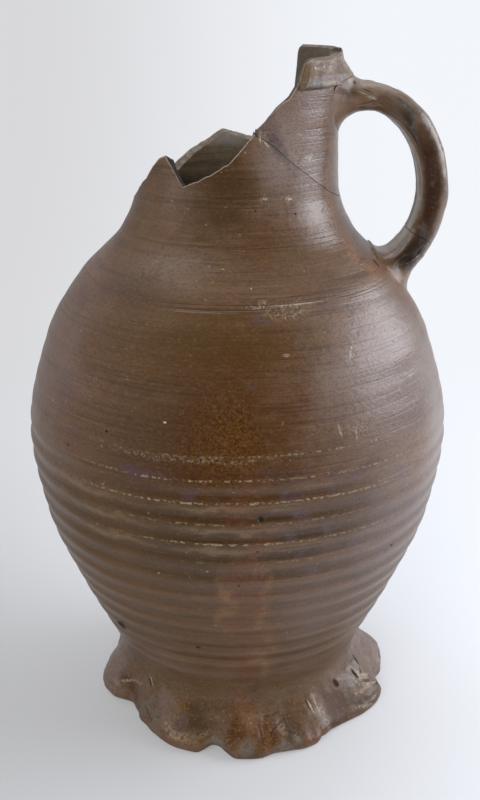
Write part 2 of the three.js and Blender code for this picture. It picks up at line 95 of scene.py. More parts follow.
def smoothThrough(points):
    x, y = (np.array(v, float) for v in zip(*points))
    rise = np.diff(y) / np.diff(x)
    slope = np.empty(len(x))
    slope[0], slope[-1] = rise[0], rise[-1]
    for i in range(1, len(x) - 1):
        left, right = rise[i - 1], rise[i]
        slope[i] = 0 if left * right <= 0 else 2 * left * right / (left + right)

    def at(v):
        v = np.asarray(v, float)
        i = np.clip(np.searchsorted(x, v) - 1, 0, len(x) - 2)
        span = x[i + 1] - x[i]
        t = np.clip((v - x[i]) / span, 0, 1)
        up = y[i + 1] - y[i]
        a = slope[i] * span - up
        b = up - slope[i + 1] * span
        return y[i] + up * t + t * (1 - t) * (a * (1 - t) + b * t)

    return at


def smoothStep(x, low, high):
    t = np.clip((np.asarray(x, float) - low) / (high - low), 0, 1)
    return t * t * (3 - 2 * t)


def mix(a, b, t):
    return a + (b - a) * t


# A bump, 1 in the middle and dying away past its half width
def bell(x, halfWidth):
    return np.exp(-((x / halfWidth) ** 2))


# Noise from -1 to 1 at each point, with lumps of about that size
def roughly(points, size, seed):
    flat = np.asarray(points, float).reshape(-1, 3) / size + seed
    values = np.fromiter((noise.noise(Vector(p)) for p in flat), float, len(flat))
    return values.reshape(np.asarray(points).shape[:-1])


# Layers of that noise, each given as (size, seed, amount)
def lumpy(points, layers):
    return sum(roughly(points, size, seed) * amount for size, seed, amount in layers)


wallRadius = smoothThrough(jug["profile"])
wallThickness = smoothThrough(jug["thickness"])


def outerRadius(z):
    return wallRadius(z) - jug["skin"]


def innerRadius(z):
    return wallRadius(z) - wallThickness(z)


def around(turn, radius, z):
    a = np.radians(turn)
    return np.stack(np.broadcast_arrays(radius * np.cos(a), radius * np.sin(a), z), -1)


def pushed(loops, amount, centre=None):
    away = loops * [1, 1, 0] if centre is None else loops - centre
    away = away / np.linalg.norm(away, axis=-1, keepdims=True)
    return loops + away * amount[..., None]


# A closed mesh through loops of points. Zones number the faces between one point of a loop and the next
def loft(name, loops, ring, zones=None, attributes=None):
    count, size = loops.shape[:2]
    grid = np.arange(count * size).reshape(count, size)
    here = grid if ring else grid[:-1]
    after = np.roll(grid, -1, 0) if ring else grid[1:]
    quads = np.stack([here, after, np.roll(after, -1, 1), np.roll(here, -1, 1)], -1).reshape(-1, 4)
    faces = quads.tolist()
    if not ring:
        faces += [grid[0].tolist(), grid[-1][::-1].tolist()]
    mesh = bpy.data.meshes.new(name)
    mesh.from_pydata((loops.reshape(-1, 3) / 1000).tolist(), [], faces)
    for key, values in (attributes or {}).items():
        layer = mesh.attributes.new(key, "FLOAT", "POINT")
        layer.data.foreach_set("value", np.ascontiguousarray(values, np.float32).ravel())
    if zones is not None:
        caps = np.ones(len(faces) - len(quads), int)
        layer = mesh.attributes.new("zone", "INT", "FACE")
        zoneOfFace = np.concatenate([np.tile(zones, len(quads) // size), caps])
        layer.data.foreach_set("value", zoneOfFace.astype(np.int32))
    work = bmesh.new()
    work.from_mesh(mesh)
    bmesh.ops.remove_doubles(work, verts=work.verts, dist=1e-6)
    work.to_mesh(mesh)
    work.free()
    piece = bpy.data.objects.new(name, mesh)
    bpy.context.scene.collection.objects.link(piece)
    return piece


# Stains and marks

def pointsOf(piece):
    flat = np.empty(len(piece.data.vertices) * 3)
    piece.data.vertices.foreach_get("co", flat)
    return flat.reshape(-1, 3) * 1000


def fromFront(piece):
    points = pointsOf(piece)
    return np.degrees(np.arctan2(points[:, 0], -points[:, 1])), points[:, 2]


def alongStrap(piece):
    values = []
    for key in ("along", "aroundStrap"):
        flat = np.empty(len(piece.data.vertices), np.float32)
        piece.data.attributes[key].data.foreach_get("value", flat)
        values.append(flat.astype(float))
    return values


# How the edges of a stain stray from an ellipse, in layers of noise
stray = {"across": [(13, 0.7, 5), (4, 3.9, 2.4)], "up": [(13, 8.7, 3.4), (4, 6.1, 1.8)]}


# Writes how much of each broad stain covers each vertex, as attributes of the piece. A patch is (across, up,
# half width, half height, tilt, strength): degrees from the front and height above the table, or on the strap
# the run from the neck and the angle round it
def paintStains(piece, stains, where):
    points = pointsOf(piece)
    shift, lift = lumpy(points, stray["across"]), lumpy(points, stray["up"])
    for stain in stains:
        if "patches" not in stain:
            continue
        soft = stain.get("soft", 0.55)
        drift = stain.get("drift", 1)
        cover = np.zeros(len(points))
        for across, up, halfWidth, halfHeight, tilt, strength in stain["patches"]:
            a = (where[0] - across + 180) % 360 - 180 + shift * drift
            z = where[1] - up + lift * drift
            c, s = math.cos(math.radians(tilt)), math.sin(math.radians(tilt))
            away = np.hypot((a * c + z * s) / halfWidth, (z * c - a * s) / halfHeight)
            cover = np.maximum(cover, strength * (1 - smoothStep(away, 1 - soft, 1 + soft / 2)))
        layer = piece.data.attributes.new(stain["name"], "FLOAT", "POINT")
        layer.data.foreach_set("value", cover.astype(np.float32))


def finishPiece(piece, node, stains, material=None, where=fromFront):
    if material:
        piece.data.materials.append(material)
    paintStains(piece, stains, where(piece))
    piece.data.shade_smooth()
    piece.data.set_sharp_from_angle(angle=math.radians(jug["sharpAngle"]))
    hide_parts(node)
    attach(piece, "root")
    print("made", piece.name, len(piece.data.polygons), "faces")


# How much of the crisp marks, given like patches, covers the surface, worked out by the shader itself
def crispMarks(tree, spot, marks, soft):
    total = None
    for across, up, halfWidth, halfHeight, tilt, strength in marks:
        local = addNode(
            tree, "ShaderNodeMapping",
            {"Vector": spot, "Location": (across, up, 0), "Rotation": (0, 0, math.radians(tilt)),
             "Scale": (halfWidth, halfHeight, 1)},
            vector_type="TEXTURE",
        )[0]
        away = addNode(tree, "ShaderNodeVectorMath", {0: local}, operation="LENGTH")["Value"]
        cover = addNode(
            tree, "ShaderNodeMapRange", {0: away, 1: 1 + soft / 2, 2: 1 - soft, 3: 0.0, 4: strength},
            interpolation_type="SMOOTHSTEP",
        )[0]
        if total is not None:
            cover = addNode(tree, "ShaderNodeMath", {0: total, 1: cover}, operation="MAXIMUM")[0]
        total = cover
    return total


ribLine = {"stray": 0.12, "core": 0.35}  # shares of the ribs' pitch, and of the line's own width


# Keeps a stain to one line along each throwing rib: where ash caught, or down in the groove, where glaze
# pooled and shade is painted
def alongRibs(tree, place, amount, line):
    phase = addNode(tree, "ShaderNodeAttribute", attribute_name="ribPhase")["Fac"]
    ragged = addNode(
        tree, "ShaderNodeTexNoise", {"Vector": place, "Scale": 1000 / line["ragged"], "Detail": 3.0}
    )[0]
    phase = addNode(
        tree, "ShaderNodeMath", {0: ragged, 1: ribLine["stray"], 2: phase}, operation="MULTIPLY_ADD"
    )[0]
    phase = addNode(tree, "ShaderNodeMath", {0: phase, 1: line["at"]}, operation="ADD")[0]
    phase = addNode(tree, "ShaderNodeMath", {0: phase}, operation="FRACT")[0]
    away = addNode(tree, "ShaderNodeMath", {0: phase, 1: 0.5}, operation="SUBTRACT")[0]
    away = addNode(tree, "ShaderNodeMath", {0: away}, operation="ABSOLUTE")[0]
    near = addNode(
        tree, "ShaderNodeMapRange", {0: away, 1: line["width"], 2: line["width"] * ribLine["core"]},
        interpolation_type="SMOOTHSTEP",
    )[0]
    return addNode(tree, "ShaderNodeMath", {0: amount, 1: near}, operation="MULTIPLY")[0]


# A fired clay surface. The look gives its tones, stains, relief in mm and gloss
def stoneware(name, look):
    material = bpy.data.materials.new(name)
    material.use_nodes = True
    tree = material.node_tree
    tree.nodes.clear()
    place = addNode(tree, "ShaderNodeTexCoord")["Object"]
    x, y, z = addNode(tree, "ShaderNodeSeparateXYZ", {0: place})
    if "strap" in look:
        across = addNode(tree, "ShaderNodeAttribute", attribute_name="along")["Fac"]
        up = addNode(tree, "ShaderNodeAttribute", attribute_name="aroundStrap")["Fac"]
    else:
        front = addNode(tree, "ShaderNodeMath", {0: y, 1: -1.0}, operation="MULTIPLY")[0]
        turn = addNode(tree, "ShaderNodeMath", {0: x, 1: front}, operation="ARCTAN2")[0]
        across = addNode(tree, "ShaderNodeMath", {0: turn}, operation="DEGREES")[0]
        up = addNode(tree, "ShaderNodeMath", {0: z, 1: 1000.0}, operation="MULTIPLY")[0]
    spot = addNode(tree, "ShaderNodeCombineXYZ", {0: across, 1: up})[0]
    colour, relief, gloss = toLinear(look["base"]), 0.0, look["gloss"]
    for layer in [*look["tones"], *look["stains"]]:
        if "size" in layer:  # clouds, wipe marks and specks, sized across and along the height in mm
            wide, tall = layer["size"]
            scaled = addNode(
                tree, "ShaderNodeMapping",
                {"Vector": place, "Scale": (1000 / wide, 1000 / wide, 1000 / tall),
                 "Location": (layer.get("seed", 0),) * 3},
            )[0]
            amount = addNode(
                tree, "ShaderNodeTexNoise", {"Vector": scaled, "Scale": 1.0, "Detail": 3.0, "Roughness": 0.6}
            )[0]
            low, high = layer["range"]
            amount = addNode(
                tree, "ShaderNodeMapRange", {0: amount, 1: low, 2: high, 3: 0.0, 4: layer["strength"]},
                interpolation_type="SMOOTHSTEP",
            )[0]
        elif "marks" in layer:
            amount = crispMarks(tree, spot, layer["marks"], layer.get("soft", 0.7))
        else:
            amount = addNode(tree, "ShaderNodeAttribute", attribute_name=layer["name"])["Fac"]
        if "grain" in layer:  # the stain breaks up into grains of this size in mm
            size, low, high = layer["grain"]
            speck = addNode(
                tree, "ShaderNodeTexNoise",
                {"Vector": place, "Scale": 1000 / size, "Detail": 2.0, "Roughness": 0.6},
            )[0]
            speck = addNode(
                tree, "ShaderNodeMapRange", {0: speck, 1: low, 2: high}, interpolation_type="SMOOTHSTEP"
            )[0]
            amount = addNode(tree, "ShaderNodeMath", {0: amount, 1: speck}, operation="MULTIPLY")[0]
        if "line" in layer:
            amount = alongRibs(tree, place, amount, layer["line"])
        colour = addNode(
            tree, "ShaderNodeMix", {0: amount, 6: colour, 7: toLinear(layer["colour"])}, data_type="RGBA"
        )[2]
        if "relief" in layer:
            relief = addNode(
                tree, "ShaderNodeMath", {0: amount, 1: layer["relief"], 2: relief}, operation="MULTIPLY_ADD"
            )[0]
        if "rough" in layer:
            gloss = addNode(
                tree, "ShaderNodeMath", {0: amount, 1: layer["rough"], 2: gloss}, operation="MULTIPLY_ADD"
            )[0]
    for size, depth in look["peel"]:  # the uneven skin of the glaze: size and depth in mm
        skin = addNode(
            tree, "ShaderNodeTexNoise",
            {"Vector": place, "Scale": 1000 / size, "Detail": 2.0, "Roughness": 0.5},
        )[0]
        relief = addNode(tree, "ShaderNodeMath", {0: skin, 1: depth, 2: relief}, operation="MULTIPLY_ADD")[0]
    bump = addNode(tree, "ShaderNodeBump", {"Strength": 1.0, "Distance": 0.001, "Height": relief})[0]
    surface = addNode(
        tree, "ShaderNodeBsdfPrincipled",
        {"Base Color": colour, "Roughness": gloss, "IOR": 1.5,
         "Specular IOR Level": look.get("specular", 0.5), "Normal": bump},
    )[0]
    addNode(tree, "ShaderNodeOutputMaterial", {0: surface})
    return material


# Salt-glazed stoneware, thrown: brown and mottled, with wheel lines and a leathery skin that glints softly
glazeLook = {
    "base": "#694a31",
    "gloss": 0.34,
    "peel": [(2.6, 0.12), (1.0, 0.085)],
    "tones": [
        {"colour": "#79624f", "size": (44, 34), "range": (0.42, 0.66), "strength": 0.6},
        {"colour": "#52371f", "size": (30, 18), "range": (0.46, 0.68), "strength": 0.6, "seed": 5},
        {"colour": "#422c19", "size": (60, 1.4), "range": (0.5, 0.64), "strength": 0.6, "seed": 9,
         "relief": -0.08},
        {"colour": "#856b51", "size": (40, 1.1), "range": (0.53, 0.68), "strength": 0.45, "seed": 13},
        {"colour": "#4c3520", "size": (7, 4), "range": (0.48, 0.7), "strength": 0.35, "seed": 29},
    ],
    "stains": [
        # Darker glaze down in the rib grooves: partly glaze that pooled there, partly painted shade in the
        # grooves
        {"name": "pooledGlazeAndGrooveShade", "colour": "#3a2309", "soft": 0.35, "patches": [
            (0, 86, 400, 46, 0, 0.6), (-8, 112, 40, 24, 0, 0.9)],
            "line": {"width": 0.32, "ragged": 7, "at": 0.12}},  # half width, size in mm, share of the pitch
        {"name": "dusk", "colour": "#7a655f", "soft": 0.9, "patches": [
            (44, 165, 24, 34, 0, 0.7), (46, 115, 22, 40, 0, 0.5), (24, 76, 14, 22, 0, 0.4),
            (-62, 172, 18, 34, 0, 0.5), (-36, 232, 10, 12, 0, 0.35), (-48, 204, 24, 12, 0, 0.4),
            (-14, 34, 34, 8, 0, 0.45), (-52, 120, 12, 26, 0, 0.5), (26, 256, 20, 12, -20, 0.5),
            (36, 250, 20, 30, 0, 0.5), (-66, 70, 14, 20, 0, 0.3)]},
        # Pale grey-beige glaze; towards the right edge of the belly and neck this paleness is painted sheen
        # from the light at the right
        {"name": "greigeAndSheen", "colour": "#94857d", "soft": 0.9, "patches": [
            (22, 250, 16, 18, 0, 0.6), (66, 152, 11, 44, 0, 0.65), (66, 236, 9, 40, 0, 0.45),
            (80, 148, 10, 50, 0, 0.5), (44, 236, 12, 16, 0, 0.6), (30, 172, 12, 12, -20, 0.35),
            (-26, 208, 16, 8, 0, 0.25)]},
        {"name": "amber", "colour": "#5f4117", "soft": 0.9, "patches": [
            (-40, 96, 40, 52, 0, 0.75), (-6, 62, 30, 40, 0, 0.6), (-16, 186, 36, 20, 0, 0.7),
            (-54, 222, 18, 18, 0, 0.6), (16, 212, 26, 10, 0, 0.5), (40, 60, 22, 34, 0, 0.5)]},
        {"name": "ochre", "colour": "#442c02", "soft": 0.85, "patches": [
            (-10, 237, 22, 12, 6, 0.8), (-19, 226, 15, 12, 0, 0.6), (-10, 224, 19, 6.5, 0, 0.85),
            (-40, 200, 18, 8, 0, 0.5), (-6, 184, 30, 12, 0, 0.45), (-12, 118, 20, 13, 0, 0.65),
            (-14, 152, 26, 34, 0, 0.6), (-12, 134.5, 26, 4, 0, 0.7), (-11, 124.8, 24, 3.6, 0, 0.9),
            (-9, 116, 24, 3.4, 0, 0.9), (-10, 107, 26, 3.2, 0, 0.8), (-8, 98.4, 24, 3, 0, 0.6),
            (-44, 112, 18, 24, 0, 0.5), (22, 118, 12, 16, 0, 0.35), (-12, 110, 22, 18, 0, 0.9)]},
        {"name": "ember", "colour": "#4b2703", "soft": 0.9, "patches": [
            (-3, 155, 15, 26, 0, 1), (-8, 142, 21, 12, 0, 0.9), (6, 160, 7, 10, 0, 0.5),
            (0, 124, 8, 12, 0, 0.4)],
            "grain": (1.5, 0.25, 0.5), "rough": -0.06},
        {"name": "gold", "colour": "#7b5518", "soft": 0.9, "patches": [
            (-1, 158, 10, 16, 0, 0.55), (-2, 148, 12, 11, 0, 0.55), (-6, 138, 13, 6, 0, 0.4)],
            "grain": (0.8, 0.42, 0.62), "relief": 0.05},
        # Lighter bands on the rib crests at the front and left: painted highlight, where the light catches
        # their upper sides
        {"name": "tan", "colour": "#8a7350", "soft": 0.8, "patches": [
            (-2, 127.4, 14, 1.5, 0, 0.55), (-3, 118.8, 14, 1.4, 0, 0.6), (-2, 110.2, 14, 1.3, 0, 0.55),
            (-42, 127.6, 16, 1.4, 0, 0.45), (-38, 119, 16, 1.4, 0, 0.45), (-36, 110.2, 16, 1.4, 0, 0.45)]},
        {"name": "rust", "colour": "#6f4128", "soft": 0.8, "patches": [
            (84, 190, 20, 9, 0, 0.9), (70, 200, 9, 7, 0, 0.7), (3, 85, 6, 60, 0, 0.6),
            (3, 125, 5, 20, 0, 0.45), (2, 30, 8, 16, 0, 0.45)],
            "grain": (1.8, 0.25, 0.6)},
        {"name": "russet", "colour": "#946c46", "soft": 0.8, "patches": [
            (-3, 84, 2.2, 20, 0, 0.5), (7, 82, 2, 26, 0, 0.55), (9, 40, 3, 20, 0, 0.45),
            (48, 133, 10, 14, 0, 0.35), (57, 130, 6, 20, 0, 0.4)],
            "grain": (1.8, 0.3, 0.6)},
        # Rust-orange streaks on the neck and shoulder; by the handle's lower root this lighter orange is also
        # a painted highlight
        {"name": "rustOrangeAndHighlight", "colour": "#9a6a47", "soft": 0.9, "patches": [
            (60, 228, 2.6, 18, 0, 0.5), (61, 250, 2.4, 16, 0, 0.4), (60, 210, 6, 8, 0, 0.6),
            (66, 202, 11, 6, 0, 0.8), (78, 196, 12, 7, 0, 0.8), (92, 190, 12, 8, 0, 0.6)],
            "grain": (1.7, 0.4, 0.56), "relief": 0.1},
        # Pale strip down the right edge of the neck: painted sheen, where the neck turns away into the light
        # at the right
        {"name": "neckEdgeSheen", "colour": "#b8aaa0", "soft": 0.9, "patches": [(84, 246, 15, 34, 0, 0.95)]},
        {"name": "umber", "colour": "#4a2c16", "soft": 0.8, "patches": [
            (67, 205.5, 8, 3, 0, 0.7), (56, 215, 3, 6, 20, 0.4), (70, 199, 8, 4, 0, 0.5),
            (80, 194, 12, 4, 0, 0.6), (72, 189, 10, 3, 0, 0.5)],
            "grain": (1.7, 0.4, 0.56)},
        {"name": "seam", "colour": "#4a4143", "drift": 0.5, "patches": [(20, 252, 12, 3, -36, 0.65)],
            "grain": (3, 0.2, 0.5)},
        {"name": "violet", "colour": "#523c42", "patches": [
            (-24, 140.4, 4, 2.6, -8, 0.9), (-10, 133.8, 2.2, 3, 0, 0.9), (15, 133, 2.6, 2.2, 0, 0.7),
            (-43, 149, 3, 2, 0, 0.5), (28, 140, 9, 2.5, 0, 0.45), (10, 141, 8, 2, 0, 0.4),
            (20, 257, 10, 4, -38, 0.4), (-52, 160, 6, 10, 0, 0.3)],
            "grain": (2.5, 0.25, 0.5)},
        {"name": "slate", "colour": "#5d5056", "drift": 0.8, "patches": [
            (11, 133, 1.6, 2.6, 0, 0.5), (16, 124.5, 1.8, 2.4, 0, 0.5), (21, 116, 1.5, 3, 0, 0.45),
            (33, 124, 2, 3, 0, 0.4), (43, 133, 2, 4, 0, 0.4), (11, 115.8, 1.4, 2.4, 0, 0.45),
            (33, 107, 1.8, 3, 0, 0.45), (21, 98, 1.6, 3, 0, 0.4), (51, 116, 2, 4, 0, 0.4),
            (16, 107, 1.5, 2.4, 0, 0.4), (43, 98, 2, 3, 0, 0.4), (24, 133, 2, 2.6, 0, 0.45),
            (8, 194, 1.6, 1.2, 0, 0.7), (30, 194, 1.4, 1.2, 0, 0.6), (2, 172, 1.2, 1.2, 0, 0.4)]},
        {"name": "ashy", "colour": "#b0a38b", "drift": 0.5, "patches": [
            (14, 197.4, 12, 0.9, 1, 0.7), (17, 195, 8, 1.4, 0, 0.5), (-10, 147, 22, 1.0, 0, 0.45),
            (32, 154, 8, 3, 0, 0.3), (28, 231.4, 5, 1.2, 0, 0.8), (14.5, 232.4, 4, 1.0, 0, 0.6),
            (40, 245, 5, 1.4, 3, 0.7), (12, 254.6, 2.0, 3.0, -35, 0.45), (-36, 208, 14, 6, 0, 0.15)],
            "grain": (0.9, 0.46, 0.62), "relief": 0.1},
        {"name": "flaked", "colour": "#b8ab9b", "grain": (1.5, 0.2, 0.45)},
        {"colour": "#3a2a1c", "marks": [
            (-6, 196.4, 26, 0.3, 0.4, 0.6), (14, 197.9, 34, 0.25, 0.3, 0.5), (16, 215, 46, 0.25, 0, 0.5),
            (6, 214, 26, 0.2, 0, 0.4), (10, 228, 30, 0.2, 0.4, 0.4), (20, 218.6, 36, 0.2, -0.4, 0.35)],
            "relief": -0.2},
        {"colour": "#d3c7b0", "marks": [
            (28.5, 231.5, 2.4, 0.4, 0, 0.9), (-18, 159, 0.5, 0.5, 0, 0.9), (5, 203, 0.35, 0.35, 0, 0.9),
            (13.6, 182, 1.0, 0.5, 0, 0.7), (33, 180, 0.5, 2.4, -25, 0.45), (26, 154.5, 0.4, 2.6, 8, 0.4),
            (30.5, 152, 0.3, 2.8, 0, 0.35), (40, 245.6, 3.4, 0.8, 3, 1), (14.5, 232.4, 1.6, 0.4, 0, 0.7)],
            "grain": (0.7, 0.4, 0.55), "relief": 0.15},
        {"colour": "#cbbfae", "marks": [
            (9.4, 257, 0.5, 1.4, -30, 0.9), (12, 254.2, 0.5, 1.4, 10, 0.8), (15, 252.4, 2.6, 0.35, -36, 0.8),
            (-12, 195.6, 14, 0.2, 0.6, 0.2), (20, 197.6, 10, 0.3, 0.4, 0.45)],
            "grain": (1.2, 0.25, 0.5), "relief": 0.15},
        # Small pits and slots painted black: their darkness is painted shade, since the bump is too shallow
        # to cast it
        {"colour": "#14100c", "soft": 0.5, "marks": [
            (-47.6, 51.4, 2.8, 2.3, 20, 1), (5.6, 124.2, 0.7, 1.0, 10, 1), (-13.8, 54.4, 0.7, 0.6, 0, 1),
            (-34, 152, 0.45, 0.45, 0, 0.9), (-47, 142, 0.45, 0.45, 0, 0.8), (64, 109, 0.9, 0.8, 0, 1),
            (47, 97, 0.5, 0.5, 0, 0.8), (0.5, 94, 0.35, 0.4, 0, 0.8), (5, 110, 0.3, 0.4, 0, 0.9),
            (9.5, 228, 0.5, 0.4, 0, 0.8), (31, 226, 1.0, 0.4, 0, 0.6), (71, 203.4, 1.0, 1.8, -24, 1)],
            "relief": -0.8, "rough": 0.4},
        {"colour": "#33231a", "size": (1.3, 0.8), "range": (0.46, 0.7), "strength": 0.42, "seed": 17},
        {"colour": "#b9aa92", "size": (2.6, 2.0), "range": (0.69, 0.75), "strength": 0.5, "seed": 31,
         "relief": 0.1},
        {"colour": "#1d140d", "size": (2.8, 2.2), "range": (0.7, 0.76), "strength": 0.5, "seed": 37,
         "relief": -0.3},
        {"colour": "#94806a", "size": (1.6, 0.8), "range": (0.5, 0.8), "strength": 0.22, "seed": 23},
        {"name": "crust", "colour": "#a69779", "soft": 0.7, "drift": 0.5, "patches": [
            (5, 146, 42, 3.4, 0, 0.8), (2, 138.5, 44, 3, 0, 0.75), (0, 130.5, 44, 3, 0, 0.85),
            (0, 122, 36, 2.6, 0, 0.45), (5, 113, 42, 3, 0, 0.75), (12, 105, 36, 2, 0, 0.25)],
            "grain": (1.5, 0.45, 0.62), "line": {"width": 0.06, "ragged": 1.6, "at": 0.44}, "relief": 0.14},
    ],
}

# The same glaze on the pulled handle, thicker and glossier, with painted shade on its flank towards the front
handleLook = {
    "base": "#66503c",
    "gloss": 0.32,
    "strap": True,
    "peel": [(2.2, 0.12), (0.8, 0.06)],
    "tones": [
        {"colour": "#85725f", "size": (14, 10), "range": (0.44, 0.66), "strength": 0.6, "seed": 3},
        {"colour": "#45301f", "size": (9, 7), "range": (0.46, 0.64), "strength": 0.6, "seed": 7},
    ],
    "stains": [
        # Lighter outer face of the strap: painted highlight where it faces the light
        {"name": "crown", "colour": "#8d7d6f", "soft": 0.8, "patches": [
            (50, 64, 66, 30, 0, 0.75), (12, 50, 14, 40, 0, 0.5)], "grain": (3, 0.15, 0.4)},
        # Painted shade on the strap's flank towards the front and on its lower run
        {"name": "shade", "colour": "#3a2317", "soft": 0.6, "patches": [
            (62, -14, 32, 30, 0, 0.95), (36, -24, 10, 18, 0, 0.8), (90, 0, 11, 40, 0, 0.95)],
            "grain": (5, 0.15, 0.4), "rough": -0.04},
        {"name": "smoke", "colour": "#6b6663", "soft": 0.7, "patches": [
            (26, 2, 6, 22, 30, 0.8), (33, -12, 5, 14, 30, 0.6), (38, 24, 5, 12, 20, 0.5),
            (22, -30, 5, 8, 0, 0.4), (74, 34, 12, 12, 0, 0.4), (80, -10, 4, 14, 0, 0.5)],
            "grain": (3, 0.25, 0.5)},
        # Dark soot on the flank; the patches low on the strap near the shoulder are painted shade
        {"name": "sootAndShade", "colour": "#332a24", "soft": 0.8, "patches": [
            (30, -8, 6, 14, 30, 0.95), (24, 14, 3, 8, 20, 0.7), (90, -4, 10, 30, 0, 0.8),
            (25, 40, 4, 8, 20, 0.5), (83, 8, 4, 12, 0, 0.6)],
            "grain": (2, 0.25, 0.5)},
        {"name": "honey", "colour": "#4e3406", "soft": 0.6, "patches": [
            (17, -28, 7, 12, 0, 0.95), (8, -40, 7, 16, 0, 0.5), (94, -6, 6, 24, 0, 0.5)]},
        {"name": "bare", "colour": "#8f7d6b", "soft": 0.8, "patches": [
            (8, 62, 4, 24, 0, 0.6), (2, 4, 2.4, 14, 20, 0.7), (98, 20, 3, 30, 0, 0.4),
            (10, 20, 3, 10, 0, 0.4)],
            "grain": (2.0, 0.3, 0.55), "rough": 0.35},
        {"name": "ginger", "colour": "#775033", "soft": 0.8, "patches": [
            (0, -30, 5, 40, 0, 0.7), (8, 0, 6, 14, 0, 0.4), (0, 42, 4, 36, 0, 0.9)], "grain": (1.8, 0.2, 0.5),
            "rough": 0.3},
        # Pale grey inner face of the strap: painted sheen, where it faces up into the light
        {"name": "innerFaceSheen", "colour": "#a9a199", "soft": 0.4, "patches": [
            (50, -92, 62, 36, 0, 0.85), (90, -52, 9, 22, 0, 0.7)], "grain": (2.6, 0.15, 0.45)},
        {"name": "blaze", "colour": "#96602f", "soft": 0.8, "patches": [
            (105, 0, 8, 56, 0, 0.8), (102, -70, 9, 40, 0, 0.4)], "grain": (1.8, 0.15, 0.5)},
        {"colour": "#4a433c", "soft": 0.8, "marks": [
            (54, -72, 50, 2.2, 0, 0.8), (50, -84, 52, 1.8, 0, 0.7), (56, -95, 50, 2.2, 0, 0.7),
            (50, -104, 52, 1.6, 0, 0.6), (90, -44, 9, 1.4, 12, 0.8), (89, -54, 9, 1.2, 8, 0.8),
            (90, -63, 9, 1.4, 4, 0.7)], "relief": -0.2, "grain": (4, 0.25, 0.45)},
        {"colour": "#1a120c", "soft": 0.6, "marks": [
            (28, 60, 1.2, 6, 10, 0.6), (9, 18, 0.5, 9, 12, 0.8), (10, -8, 0.4, 12, -24, 0.6),
            (14, -6, 0.4, 12, 20, 0.5), (86, 10, 2.2, 10, 10, 0.8), (92, -4, 2.6, 12, 10, 0.8),
            (46, 44, 0.8, 5, 0, 0.8), (4.6, 44, 0.6, 6, 0, 0.9)], "relief": -0.4, "rough": 0.3},
        {"colour": "#cfc4b4", "soft": 0.8, "marks": [
            (8, 8, 0.5, 10, 14, 0.6), (11, 0, 1.6, 3, 30, 0.4), (83, 22, 0.5, 12, 20, 0.5),
            (89, 12, 0.5, 12, 20, 0.5), (45, 48, 0.8, 3, 0, 0.7)],
            "grain": (1.0, 0.35, 0.55), "relief": 0.1},
        {"colour": "#2f2015", "size": (1.1, 0.9), "range": (0.5, 0.74), "strength": 0.3, "seed": 17},
        {"colour": "#a5937f", "size": (1.3, 1.0), "range": (0.58, 0.8), "strength": 0.3, "seed": 23},
    ],
}

